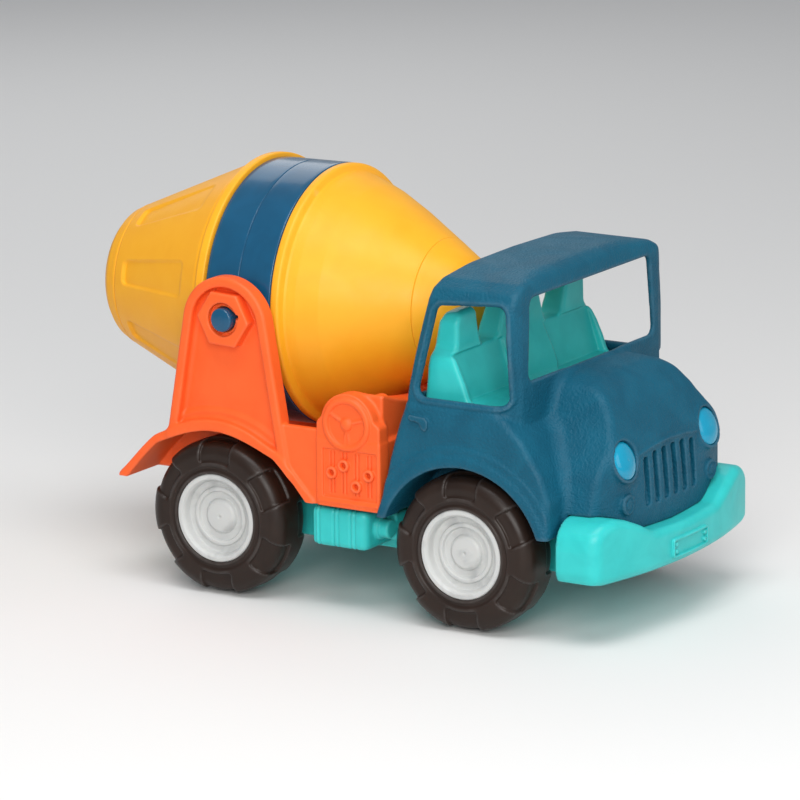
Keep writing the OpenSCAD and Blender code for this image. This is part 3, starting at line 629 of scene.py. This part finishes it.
def bumper_field(x, y, z):
    w = np.abs(y)
    bar = bumper_room(x, w, z, 114)
    bar = cut(bar, both(x - 121, w - 50), 1)
    bar = cut(bar, wheel_room(x, w, z), 0.8)
    # Raised plate frame with four bolt heads
    surface = BUMPER_FRONT - 0.8 - w ** 2 / 510
    half, bottom, top = 15.5, 29.5, 38.6
    rim = np.abs(box(w, z, (-half + 0.8, bottom + 0.8), (half - 0.8, top - 0.8), 1)) - 0.5
    raised = slab(x, surface - 2, surface + 0.5)
    plate = both(rim, raised, 0.3)
    heads = np.minimum(disc(w, z, (half - 3, bottom + 3), 0.95), disc(w, z, (half - 3, top - 3), 0.95))
    bolt = both(heads, raised, 0.3)
    bar = either(either(bar, plate, 0.3), bolt, 0.2)
    return both(bar, x - BUMPER_FRONT)


def make_bumper(material):
    axes = (
        ticks((112, 134, 1.0), (134, 145, 0.45)),
        ticks((-71, -20, 0.9), (-20, 20, 0.5), (20, 71, 0.9)),
        ticks((24.5, 30, 0.8), (30, 42.5, 0.5), (42.5, 57, 0.8)),
    )
    return moulded("bumper_bar", bumper_field, axes, material)


# ---- seats ----

SEAT_SIDE = outline([
    (45.6, 76), (45.6, 98, 2), (46.3, 105, 6), (46.7, 110, 6), (47.3, 122, 3), (48.9, 131, 4), (50.8, 135, 3),
    (54, 136.3, 3), (57, 136, 2), (58.6, 133.5, 3), (58.6, 119, 8), (62, 112, 8), (65.2, 105, 8), (68, 97, 5),
    (80, 96, 4), (84.5, 93, 4), (84.5, 76),
])
SEAT_FRONT = outline(mirrored([
    (0, 76), (60.3, 76), (60.3, 97, 3), (60, 112, 4), (59, 116.5, 3), (55.3, 119.4, 2), (54.3, 121.4, 2),
    (54, 131, 4), (51.4, 135, 4), (46, 136.4, 5), (38.6, 136.4, 3), (36, 124, 6), (34.6, 120, 3),
    (32.5, 118, 3), (21.5, 118, 3), (19.4, 120, 3), (17.9, 124, 6), (13.4, 136.4, 3), (0, 136.4),
]))


def seat_field(x, y, z):
    w = np.abs(y)
    seats = both(SEAT_SIDE(x, z), SEAT_FRONT(w, z), 1.8)
    # The outer backs lean away from the middle one, which leaves a step under each notch
    lean = 57.5 + 0.32 * (118 - z)
    hollow = both(both(slab(w, 17.5, 57), lean - x), both(z - 118, 98 - z))
    seats = cut(seats, hollow, 0.9)
    crease = np.hypot(w - 17.5, z - 98.5) - 1.6
    return cut(seats, both(crease, 60 - x), 1.0)


def make_seats(material):
    axes = (ticks((44.5, 86, 0.8)), ticks((-61.8, 61.8, 0.85)), ticks((74.5, 138, 0.8)))
    return moulded("seats", seat_field, axes, material)


# ---- orange frame ----

UPRIGHT_CENTRE = (PIVOT[0], 120.6)
UPRIGHT_R = 21.6
UPRIGHT_INNER_Y = 61
REAR_ARCH = (-56.8, 31.6)
REAR_ARCH_R = 41.4
ARCH_LIP = 5
PANEL = (-4.0, 28.0)
DIAL = (11.7, 84.3)
HUMP = (10.0, 26.0)


def upright_points():
    """Round top on two straight legs that touch it; the front leg runs on down to the fender's foot."""
    cx, cz = UPRIGHT_CENTRE
    foot_half, foot_z, toe_z = 31, 68, 45
    reach = math.hypot(foot_half, cz - foot_z)
    lean = math.atan2(foot_z - cz, foot_half) + math.acos(UPRIGHT_R / reach)
    arc = np.linspace(lean, math.pi - lean, 33)
    top = [(cx + UPRIGHT_R * math.cos(a), cz + UPRIGHT_R * math.sin(a)) for a in arc]
    spread = (foot_half - UPRIGHT_R * math.cos(lean)) / (cz + UPRIGHT_R * math.sin(lean) - foot_z)
    toe = foot_half + spread * (foot_z - toe_z)
    return [(cx + toe, toe_z), *top, (cx - foot_half, foot_z)]


UPRIGHT = outline(upright_points())
ARCH_FLARE = outline([
    (-29, 29), (29, 29), (46.5, 14.4), (46.5, -40), (-46.5, -40), (-46.5, 14.4),
])
NUT = outline([
    (13.3 * math.cos(math.radians(a)), 13.3 * math.sin(math.radians(a)), 0.9) for a in range(-3, 357, 60)
])


def rear_arch(x, z):
    """Distance from the rear wheel's opening, which widens towards the bottom."""
    u, v = x - REAR_ARCH[0], z - REAR_ARCH[1]
    return either(np.hypot(u, v) - REAR_ARCH_R, ARCH_FLARE(u, v), 12)


def dial_relief(x, y, z):
    """Handwheel: rim, domed boss and three spokes."""
    u, v = x - DIAL[0], z - DIAL[1]
    reach = np.hypot(u, v)
    rim = np.hypot(reach - 10.5, (y - FRAME_Y - 0.15) * 1.1) - 1.45
    boss = np.sqrt(reach ** 2 + (1.5 * (y - FRAME_Y)) ** 2) - 2.9
    spokes = 1e9
    for degrees, half in ((152, 0.8), (18, 0.8), (262, 0.5), (278, 0.5)):
        du, dv = math.cos(math.radians(degrees)), math.sin(math.radians(degrees))
        across = np.hypot(u * dv - v * du, (y - FRAME_Y) * 1.1) - half
        spokes = np.minimum(spokes, both(across, slab(u * du + v * dv, 0, 10)))
    return either(either(rim, boss, 0.3), spokes, 0.4)


KNOBS = [(3.9, 62.4), (10.0, 66), (16.3, 57.4), (22.6, 63)]


def lever_field(x, y, z):
    """The sunken field with its tracks, to be cut, and the knobs, to be added."""
    field = both(box(x, z, (-0.6, 51.4), (26.6, 72.8), 0.6), FRAME_Y - 0.75 - y, 0.1)
    tracks = 1e9
    knobs = 1e9
    for u, v in KNOBS:
        line = np.abs(np.abs(x - u) - 0.9) - 0.3
        tracks = np.minimum(tracks, both(both(line, slab(z, 53, 71.8)), FRAME_Y - 1.5 - y, 0.1))
        reach = np.hypot(x - u, z - v)
        ring = np.hypot(reach - 1.85, (y - FRAME_Y - 0.1) * 0.85) - 0.95
        knobs = np.minimum(knobs, both(ring, FRAME_Y - 2 - y))
    holes = 1e9
    for u, v in KNOBS:
        holes = np.minimum(holes, np.hypot(x - u, z - v) + 0.5 * (FRAME_Y - y) - 1.1)
    return np.minimum(field, tracks), knobs, holes


def upright_field(x, y, z, arch):
    """Plate with a sunken panel, whose floor rises in a soft step towards the fender."""
    plate = UPRIGHT(x, z)
    upright = both(plate, slab(y, UPRIGHT_INNER_Y, FRAME_Y), 1.5)
    fender = both(arch - ARCH_LIP, slab(y, 50, FRAME_Y), 1.2)
    house = both(arch - 2, slab(y, HOUSE_Y, 60), 0.5)
    solid = either(upright, either(fender, house), 2)
    above_lip = arch - ARCH_LIP
    depth = 4.9 - 1.3 * np.clip((5.2 - above_lip) / 2.0, 0, 1)
    recess = both(both(plate + 4.6, 0.2 - above_lip, 1.2), FRAME_Y - depth - y, 2.0)
    return cut(solid, recess, 1.2)


def panel_field(x, y, z):
    """Block with the levers, the round plate of the dial over it, and the step behind them."""
    rear, front = PANEL
    wall = both(box(x, z, (-26, FRAME_BOTTOM), (rear + 2, 80), 1), slab(y, 64, 67.5), 0.8)
    tail = both(box(x, z, (-14, FRAME_BOTTOM), (rear + 2, DECK_Z)), slab(y, HOUSE_Y, 67.5), 0.8)
    face = either(box(x, z, (rear, FRAME_BOTTOM), (front, 85.5), 2.5), disc(x, z, DIAL, 13.4), 2)
    front_plate = both(face, slab(y, 61.5, FRAME_Y), 0.9)
    block = both(box(x, z, (rear, FRAME_BOTTOM), (front, 77.5), 1), slab(y, HOUSE_Y, FRAME_Y), 0.9)
    return either(either(wall, tail, 1.2), either(front_plate, block, 1), 0.8)


def hump_top(y):
    """Height of the cross block, hollowed on top to follow the drum."""
    return 86 + 185 - np.sqrt(185 ** 2 - np.minimum(np.abs(y), 70) ** 2)


def with_cross_block(solid, x, y, z):
    """Adds the block behind the cab, with a small boss on it next to the dial plate."""
    hump = both(both(slab(x, *HUMP), z - hump_top(y) - 0.8, 1.2), both(y - 63, z - 97.6, 2), 1.2)
    solid = either(solid, both(hump, DECK_Z - 3 - z), 1.5)
    boss = np.sqrt(((x - 20) * 0.6) ** 2 + ((y - 54) * 0.5) ** 2 + (z - 94.3) ** 2) - 1.7
    return either(solid, boss, 0.8)


def with_deck(solid, x, y, z):
    """Adds the deck under the drum, with a rail round its lower side."""
    deck = both(slab(x, -100, 28), both(slab(z, DECK_Z - 3, DECK_Z), y - HOUSE_Y - 1), 0.8)
    rails = both(box(x, y, (-100, -50), (28, 41), 2), slab(z, 46.2, DECK_Z - 1))
    rails = cut(rails, box(x, y, (-97, -60), (25, 38), 1))
    return either(solid, either(deck, rails, 0.5), 1)


def hollowed(solid, x, y, z):
    """Clears the panel block and the cross block from below."""
    inside = slab(y, HOUSE_Y + FRAME_WALL, FRAME_Y - FRAME_WALL)
    solid = cut(solid, both(box(x, z, (-1.2, 40), (25.2, 74.7), 1), inside, 1))
    under = both(z - hump_top(y) + FRAME_WALL, slab(y, -5, 60.2), 1)
    return cut(solid, both(box(x, z, (12.8, 40), (23.2, 94), 1), under, 1))


def with_nut(solid, x, y, z):
    """Adds the nut round the pin and its recess, and cuts the pin's bore."""
    nut_y, recess_r, bore_r = 70, 7.4, 5.3
    u, v = x - PIVOT[0], z - PIVOT[2]
    reach = np.hypot(u, v)
    solid = either(solid, both(NUT(u, v), slab(y, UPRIGHT_INNER_Y, nut_y), 0.8), 0.5)
    solid = cut(solid, both(reach - recess_r, nut_y - 2.6 - y, 0.2), 0.5)
    collar = both(np.abs(reach - 6.2) - 0.5, slab(y, 65, 68.2), 0.2)
    solid = np.minimum(solid, both(collar, -box(u, v, (3, 0.2), (8, 3.4))))
    solid = cut(solid, both(box(u, v, (4, 0.9), (8.2, 2.9), 0.3), nut_y - 4.6 - y), 0.3)
    return cut(solid, reach - bore_r)


def with_panel_relief(solid, x, y, z):
    """Adds the dial, the levers and the lip along the panel's lower edge."""
    solid = either(solid, both(dial_relief(x, y, z), 66 - y), 0.35)
    levers, knobs, holes = lever_field(x, y, z)
    solid = cut(solid, levers, 0.1)
    solid = cut(either(solid, knobs, 0.2), holes, 0.2)
    lip = both(np.hypot(z - 49.6, (y - FRAME_Y) * 0.9) - 0.75, slab(x, -2.6, 27.2), 0.6)
    return either(solid, lip, 0.6)


def frame_field(x, y, z):
    """Left half of the orange frame."""
    arch = rear_arch(x, z)
    solid = either(upright_field(x, y, z, arch), panel_field(x, y, z), 1.2)
    solid = with_cross_block(solid, x, y, z)
    solid = with_deck(solid, x, y, z)
    solid = hollowed(solid, x, y, z)
    solid = with_nut(solid, x, y, z)
    solid = cut(solid, both(arch, HOUSE_Y + 2.4 - y), 1.0)
    solid = with_panel_relief(solid, x, y, z)
    # The deck's rails reach a little lower than the sides; the halves meet at y = 0
    below = np.where(y < 41.2, 46.0, FRAME_BOTTOM)
    return both(both(solid, below - z), 0.03 - y)


def make_frame_half(name, material, right):
    axes = (
        ticks((-108.5, -74, 1.1), (-74, -32, 0.65), (-32, -6, 0.85), (-6, 29.5, 0.42)),
        ticks((-1, 41, 1.5), (41, 60, 1.2), (60, 72, 0.55)),
        ticks((44.5, 51, 0.7), (51, 75, 0.45), (75, 99, 0.5), (99, 144, 0.75)),
    )
    return moulded(name, frame_field, axes, material, mirror_y=right)


# ---- underbody and tanks ----

def pan_field(x, y, z):
    w = np.abs(y)
    bottom, top, half = low("underbody")[2], high("underbody")[2], high("underbody")[1]
    rear, front = low("underbody")[0], high("underbody")[0]
    pan = both(box(x, y, (rear, -half), (front, half), 4), slab(z, bottom, top), 1.2)
    inner = both(box(x, y, (rear + 3, 3 - half), (front - 3, half - 3), 2), bottom + 3 - z, 1)
    pan = cut(pan, inner, 0.5)
    posts = 1e9
    heads = 1e9
    for screw_x in (-86, -6, 46, 108):
        posts = np.minimum(posts, disc(x, w, (screw_x, SCREW_Y), POST_R))
        heads = np.minimum(heads, disc(x, w, (screw_x, SCREW_Y), 3.4))
    pan = either(pan, both(posts, slab(z, bottom + 1, top)), 0.8)
    # Ribs stiffen the floor from below
    ribs = np.abs(np.mod(x + 58, 11) - 5.5) - 1.0
    ribs = both(both(ribs, slab(x, -40, 40)), both(w - 14, slab(z, bottom + 2, bottom + 6)), 0.5)
    pan = either(pan, ribs, 0.5)
    for axle in (REAR_AXLE, FRONT_AXLE):
        block = both(slab(x, axle[0] - 8, axle[0] + 8), slab(w, 29, half - 1), 0.5)
        pan = either(pan, both(block, slab(z, bottom + 1, top - 1)), 0.8)
        pan = cut(pan, disc(x, z, (axle[0], axle[2]), 3.15), 0.3)
    return cut(pan, both(heads, z - bottom - 2), 0.3)


def make_underbody(material):
    axes = (ticks((-99.5, 122.5, 1.25)), ticks((-42.5, 42.5, 1.15)), ticks((22.5, 47.5, 0.9)))
    return moulded("underbody_pan", pan_field, axes, material)


def tank_field(x, y, z):
    """Pillowy tank with three pairs of thin grooves, and a pipe that leaves its front end."""
    corner = low("side_tank_left")
    rear, bottom, top = corner[0], corner[2], high("side_tank_left")[2]
    front, outer = 19.5, high("side_tank_left")[1] - 0.6
    width = front - rear
    tank = both(both(slab(x, rear, front), slab(y, 41, outer), 3.5), slab(z, bottom, top), 2.8)
    grooves = 1e9
    for share in (0.08, 0.15, 0.41, 0.49, 0.71, 0.79):
        grooves = np.minimum(grooves, np.abs(x - rear - share * width) - 0.3)
    skin = -(tank + 0.55)
    tank = cut(tank, both(grooves, skin, 0.2), 0.5)
    pipe = both(np.hypot(y - 55.5, z - 37) - 4.2, slab(x, front - 4, 25.9), 1)
    collar = both(np.hypot(y - 55.5, z - 37) - 5.2, slab(x, front - 4, 21.5), 0.8)
    link = both(both(slab(x, front - 4, 25.9), slab(y, 41.05, 52), 1), slab(z, 31, 43), 1)
    return either(tank, either(either(pipe, collar, 0.6), link, 1), 0.8)


def make_tank(name, material, right):
    axes = (ticks((-10.5, 27.5, 0.5)), ticks((39.5, 68, 0.7)), ticks((26.5, 47, 0.6)))
    return moulded(name, tank_field, axes, material, mirror_y=right)


# ---- wheels ----

TREAD_PITCH = 60
TREAD_PHASE = 90.5


def tyre_field(centre):
    """Tyre with six sunken pockets round each edge, half a pitch apart on its two sides."""
    middle = WHEEL_FACE - TYRE_W / 2

    def field(x, y, z):
        u, v = x - centre[0], z - centre[2]
        reach = np.hypot(u, v)
        angle = np.degrees(np.arctan2(v, u))
        across = y - middle
        # The crown is slightly bowed
        crown = TYRE_R - 0.0036 * across ** 2
        tyre = both(reach - crown, slab(across, -TYRE_W / 2, TYRE_W / 2), 6)
        bead = np.hypot(reach - 22.2, np.abs(across) - TYRE_W / 2) - 0.8
        tyre = cut(tyre, bead, 0.8)
        tyre = both(tyre, HUB_R - reach, 0.8)
        result = tyre
        for edge, phase in ((1, TREAD_PHASE), (-1, TREAD_PHASE + TREAD_PITCH / 2)):
            turn = angle - phase
            turn = np.mod(turn + TREAD_PITCH / 2, TREAD_PITCH) - TREAD_PITCH / 2
            arc = np.abs(turn) * math.pi / 180 * reach - 7.8
            zone = both(both(arc, 25.0 - reach, 1.6), 2.5 - edge * across, 1.6)
            result = cut(result, both(zone, -(tyre + 1.25), 0.5), 0.7)
        return result

    return field


def make_tyre(name, centre, side, material):
    reach = TYRE_R + 1.2
    axes = (
        ticks((centre[0] - reach, centre[0] + reach, 0.72)),
        ticks((WHEEL_FACE - TYRE_W - 1.2, WHEEL_FACE + 1.2, 0.72)),
        ticks((centre[2] - reach, centre[2] + reach, 0.72)),
    )
    return moulded(name, tyre_field(centre), axes, material, mirror_y=side < 0)


def hub_profile():
    """Dished hub: rim, sloping face with two rings, and a domed cap over the axle's end."""
    inner, face = low("front_hub_left")[1], high("front_hub_left")[1]
    back, web = WHEEL_FACE - TYRE_W + 1.2, 50.4
    r = HUB_R
    return [
        (r, back, 0.8), (r, face - 0.5, 0.4), (r - 0.5, face, 0.4), (r - 2.2, face, 0.6),
        (r - 3.0, face - 1.4, 0.6), (r - 3.6, face - 4.6, 0.8), (13.4, face - 5.2, 0.6),
        (13.0, face - 3.9, 0.5), (11.4, face - 3.7, 0.5), (10.9, face - 5.4, 0.6), (8.0, face - 5.9, 0.6),
        (7.4, face - 4.6, 0.7), (6.4, face - 3.8, 1.0), (FLAT_ON_AXIS, face - 3.3),
        (FLAT_ON_AXIS, face - 7), (3.1, face - 7), (3.1, inner + 0.2), (6.8, inner + 0.2, 0.5),
        (6.8, web, 0.5), (r - 3, web, 0.5), (r - 3, back, 0.5),
    ]


# ---- drum ----

RING_R = 58.3
RING_HALF = 16.7
GROOVE_HALF = 17.0
RIM_W = 3.8
FRONT_RIM_R = 58.2
REAR_RIM_R = 60.3
BARREL_R = 53.9
DRUM_WALL = 2.6
BORE_R = BARREL_R - DRUM_WALL
NOSE_SEAM = 71.0
MOUTH_SEAM = -82.3
REAR_END = -91.9
FRONT_END = 91.0


def rear_panels(radius, along, degrees):
    """Eight sunken panels round the rear cone: narrow at the mouth, with soft borders."""
    first, pitch, half = 12.8, 45.0, 8.5
    rear_s, front_s, border, corner = -76.0, -33.5, 1.1, 2.4
    turn = np.mod(degrees - first + pitch / 2, pitch) - pitch / 2
    across = (np.abs(turn) - half) * math.pi / 180 * radius
    zone = both(across, slab(along, rear_s, front_s), corner)
    depth = 0.55 + (front_s - along) / (front_s - rear_s) * 0.95
    fade = np.clip(0.5 - zone / border, 0, 1)
    outer = radius > 30 + (along - REAR_END) * 0.2
    return depth * fade * fade * (3 - 2 * fade) * outer


def drum_rear_profile():
    return [
        (BORE_R, -GROOVE_HALF), (REAR_RIM_R - 0.1, -GROOVE_HALF, 0.7),
        (REAR_RIM_R - 0.1, -GROOVE_HALF - RIM_W, 1.2), (57.2, -22.6, 1.6), (56.9, -24.4, 2.0),
        (33.5, -81.2, 1.0), (33.0, MOUTH_SEAM + 0.25, 0.3), (32.5, MOUTH_SEAM), (30.2, MOUTH_SEAM),
        (31.4, -80), (BORE_R, -GROOVE_HALF - RIM_W),
    ]


def mouth_profile():
    return [
        (32.5, MOUTH_SEAM), (32.85, MOUTH_SEAM - 0.25, 0.2), (32.2, -84.4, 0.4), (31.8, -84.7, 0.3),
        (31.6, -85.1, 0.4), (30.4, -88, 3.0), (27.4, -90.9, 3.0), (24.6, REAR_END, 1.2),
        (22.6, REAR_END, 0.8), (22.1, REAR_END + 1, 0.6), (22.1, REAR_END + DRUM_WALL, 0.5),
        (25, REAR_END + DRUM_WALL, 1), (28, -88, 1), (30.2, MOUTH_SEAM),
    ]


def drum_front_profile():
    return [
        (BORE_R, GROOVE_HALF), (FRONT_RIM_R, GROOVE_HALF, 0.8), (FRONT_RIM_R, GROOVE_HALF + RIM_W, 1.5),
        (55.0, 21.7, 0.9), (54.4, 22.8, 0.9), (53.2, 26.5, 3), (49.4, 36, 8), (42, 50, 12),
        (29.5, 70.85, 0.2), (29.1, NOSE_SEAM), (26.9, NOSE_SEAM), (40, 48.5, 4),
        (BORE_R, GROOVE_HALF + RIM_W),
    ]


def nose_profile():
    return [
        (29.1, NOSE_SEAM), (29.3, NOSE_SEAM + 0.25, 0.2), (26.8, 75.2, 5), (22.4, 82.4, 6), (18.6, 87, 4),
        (14.5, 90, 4), (10, 90.9, 6), (FLAT_ON_AXIS, FRONT_END), (FLAT_ON_AXIS, FRONT_END - DRUM_WALL),
        (11, FRONT_END - DRUM_WALL, 2), (20, 82, 3), (26.9, NOSE_SEAM),
    ]


def ring_profile(s0, s1, seam):
    """Ring half from s0 to s1, with a fine bevel at the seam between the halves."""
    bore = BARREL_R + 0.12
    edge = 0.5
    outer = [(RING_R - 0.05, s0, edge), (RING_R - 0.05, s1, edge)]
    if seam == s0:
        outer = [(RING_R - 0.4, s0), (RING_R - 0.05, s0 + 0.35, 0.2), outer[1]]
    else:
        outer = [outer[0], (RING_R - 0.05, s1 - 0.35, 0.2), (RING_R - 0.4, s1)]
    return [(bore, s0), *outer, (bore, s1)]


def pin_field(x, y, z):
    """Pin with a low dome and a fine moulding line across it."""
    reach = np.hypot(x - PIVOT[0], z - PIVOT[2])
    dome = y - 71.95 + 0.028 * reach ** 2
    pin = both(both(reach - 5.2, dome, 0.7), 54.9 - y, 0.4)
    line = np.hypot(x - PIVOT[0] - 0.1, y - 72.0 + 0.028 * (z - PIVOT[2]) ** 2) - 0.2
    return cut(pin, both(line, slab(z, PIVOT[2] - 2.6, PIVOT[2] + 1.6)), 0.15)


def make_pin(name, material, right):
    axes = (
        ticks((PIVOT[0] - 6, PIVOT[0] + 6, 0.3)), ticks((54, 69, 0.8), (69, 73, 0.25)),
        ticks((PIVOT[2] - 6, PIVOT[2] + 6, 0.3)),
    )
    return moulded(name, pin_field, axes, material, mirror_y=right)


def lens_profile():
    """Headlight lens: stem, rolled rim and low dome, measured out of the socket."""
    r, rim, dome = LAMP_R - 0.05, -0.4, 2.15
    arc = [(r * math.cos(a), rim + (dome - rim) * math.sin(a)) for a in np.linspace(0.2, 1.5, 12)]
    return [(FLAT_ON_AXIS, -LAMP_STEM), (r - 1, -LAMP_STEM), (r, 1 - LAMP_STEM), (r, rim), *arc,
            (FLAT_ON_AXIS, dome)]


# ---- the whole truck ----

def settled_on(piece, body, slot, *nodes):
    """Joins a piece to its body and hides the CAD nodes that it stands for; slot is not used."""
    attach(piece, body)
    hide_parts(*nodes)
    return piece


def make_truck(finish):
    settled_on(make_cab(finish["cab"]), "chassis", "cab_plastic", "cab_shell")
    settled_on(make_bumper(finish["aqua"]), "chassis", "aqua_plastic", "front_bumper")
    settled_on(make_seats(finish["aqua"]), "chassis", "aqua_plastic", "seat_insert")
    settled_on(make_underbody(finish["aqua"]), "chassis", "aqua_plastic", "underbody")
    for side, sign in (("right", -1), ("left", 1)):
        half = make_frame_half("orange_frame_" + side, finish["orange"], side == "right")
        settled_on(half, "chassis", "orange_plastic",
                   "frame_" + side, "upright_" + side, "control_panel_" + side)
        tank = make_tank("tank_" + side, finish["aqua"], side == "right")
        settled_on(tank, "chassis", "aqua_plastic", "side_tank_" + side)
        place = on_lamp_axis(sign)
        lens = lathed("headlight_lens_" + side, lens_profile(), 72, finish["lamp"], place, 1.5)
        settled_on(lens, "chassis", "lamp_plastic", "headlight_" + side)
        pin = make_pin("pin_" + side, finish["ring"], side == "right")
        settled_on(pin, "drum_cradle", "ring_plastic", "trunnion_pin_" + side)
        for end, centre in (("front", FRONT_AXLE), ("rear", REAR_AXLE)):
            body = end + "_wheels"
            tyre = make_tyre(f"tyre_{end}_{side}", centre, sign, finish["tyre"])
            settled_on(tyre, body, "tyre_plastic", f"{end}_tyre_{side}")
            place = on_wheel_axis(centre, sign)
            hub = lathed(f"hub_{end}_{side}", hub_profile(), 120, finish["hub"], place, 2)
            settled_on(hub, body, "hub_plastic", f"{end}_hub_{side}")
    make_drum(finish)
    for node in ("front_axle", "rear_axle", "underbody_screws"):
        for slot in NODES[node].material_slots:
            slot.material = finish["steel"]


def make_drum(finish):
    yellow = finish["yellow"]
    shells = [
        ("rear_shell", drum_rear_profile(), 480, 0.85, rear_panels, "drum_rear_shell"),
        ("mouth_rim", mouth_profile(), 200, 1.5, None, "drum_mouth_rim"),
        ("front_shell", drum_front_profile(), 256, 2.0, None, "drum_front_shell"),
        ("nose_cap", nose_profile(), 160, 1.5, None, "drum_nose_cap"),
    ]
    for name, profile, turns, longest, relief, node in shells:
        shell = lathed(name, profile, turns, yellow, on_drum_axis, longest, relief)
        settled_on(shell, "drum", "drum_plastic", node)
    profile = [
        (BORE_R, -GROOVE_HALF), (BARREL_R, -GROOVE_HALF), (BARREL_R, GROOVE_HALF), (BORE_R, GROOVE_HALF),
    ]
    barrel = lathed("barrel", profile, 192, yellow, on_drum_axis, 4)
    settled_on(barrel, "drum", "drum_plastic", "drum_barrel")
    for name, s0, s1, node in (
        ("ring_front", 0, RING_HALF, "drum_ring_front"), ("ring_rear", -RING_HALF, 0, "drum_ring_rear"),
    ):
        half = lathed(name, ring_profile(s0, s1, 0), 256, finish["ring"], on_drum_axis, 2)
        settled_on(half, "drum_cradle", "ring_plastic", node)


# ---- studio ----

def make_floor():
    """Pale seamless floor that curves up far behind the truck."""
    half, rise, bend = 3.0, 1.5, 0.8
    profile = [(-half, 0.0), (half - bend, 0.0)]
    for turn in np.linspace(0.1, 1.5, 12):
        profile.append((half - bend + bend * math.sin(turn), bend - bend * math.cos(turn)))
    profile.append((half, rise))
    points = [(x, y, z) for y, z in profile for x in (-half, half)]
    faces = [(2 * i, 2 * i + 1, 2 * i + 3, 2 * i + 2) for i in range(len(profile) - 1)]
    mesh = bpy.data.meshes.new("studio_floor")
    mesh.from_pydata(points, [], faces)
    floor = bpy.data.objects.new("studio_floor", mesh)
    floor.location.z = -0.0002
    bpy.context.scene.collection.objects.link(floor)
    paper = bpy.data.materials.new("paper_white")
    paper.use_nodes = True
    tree = paper.node_tree
    surface = tree.nodes["Principled BSDF"]
    surface.inputs["Base Color"].default_value = (0.82, 0.82, 0.81, 1)
    surface.inputs["Roughness"].default_value = 0.75
    grain = add_node(tree, "ShaderNodeTexNoise", {"Scale": 900.0, "Detail": 2.0})
    bump = add_node(tree, "ShaderNodeBump", {"Strength": 0.2, "Distance": 0.0001})
    tree.links.new(grain.outputs["Fac"], bump.inputs["Height"])
    tree.links.new(bump.outputs["Normal"], surface.inputs["Normal"])
    mesh.materials.append(paper)


def area_light(name, place, target, size, power, colour=(1, 1, 1)):
    light = bpy.data.lights.new(name, "AREA")
    light.shape = "RECTANGLE"
    light.size, light.size_y = size
    light.energy = power
    light.color = colour
    lamp = bpy.data.objects.new(name, light)
    bpy.context.scene.collection.objects.link(lamp)
    lamp.location = place
    lamp.rotation_euler = (Vector(target) - Vector(place)).to_track_quat("-Z", "Y").to_euler()
    return lamp


def make_lights():
    middle = (0.0, 0.0, 0.09)
    area_light("overhead_softbox", (0.25, -0.35, 1.15), middle, (0.8, 0.6), 8.0)
    area_light("key_softbox", (0.75, -1.25, 0.70), middle, (0.8, 0.7), 14.0, (1.0, 0.985, 0.96))
    area_light("front_fill", (1.5, 0.2, 0.6), middle, (0.8, 0.8), 3.0)
    area_light("rear_fill", (-0.9, 0.9, 0.9), middle, (0.9, 0.9), 3.0)
    world = bpy.data.worlds.new("studio")
    world.use_nodes = True
    background = world.node_tree.nodes["Background"]
    background.inputs["Color"].default_value = (0.93, 0.95, 1.0, 1)
    background.inputs["Strength"].default_value = 0.34
    bpy.context.scene.world = world
    bpy.context.scene.view_settings.view_transform = "Standard"


def make_camera():
    """Camera at the truck's front right, slightly above it."""
    azimuth, elevation, roll = (math.radians(a) for a in (31.85, 13.33, -0.48))
    data = bpy.data.cameras.new("main_camera")
    data.lens = 246.7
    data.sensor_width = 36
    data.clip_end = 20
    camera = bpy.data.objects.new("main_camera", data)
    bpy.context.scene.collection.objects.link(camera)
    back = Vector((
        math.sin(azimuth) * math.cos(elevation), -math.cos(azimuth) * math.cos(elevation),
        math.sin(elevation),
    ))
    right = Vector((math.cos(azimuth), math.sin(azimuth), 0))
    up = back.cross(right)
    turned_right = right * math.cos(roll) + up * math.sin(roll)
    turned_up = up * math.cos(roll) - right * math.sin(roll)
    matrix = Matrix((turned_right, turned_up, back)).transposed().to_4x4()
    matrix.translation = Vector((1.236, -1.9962, 0.636))
    camera.matrix_world = matrix
    bpy.context.scene.camera = camera


make_camera()
make_truck(make_materials())
make_floor()
make_lights()
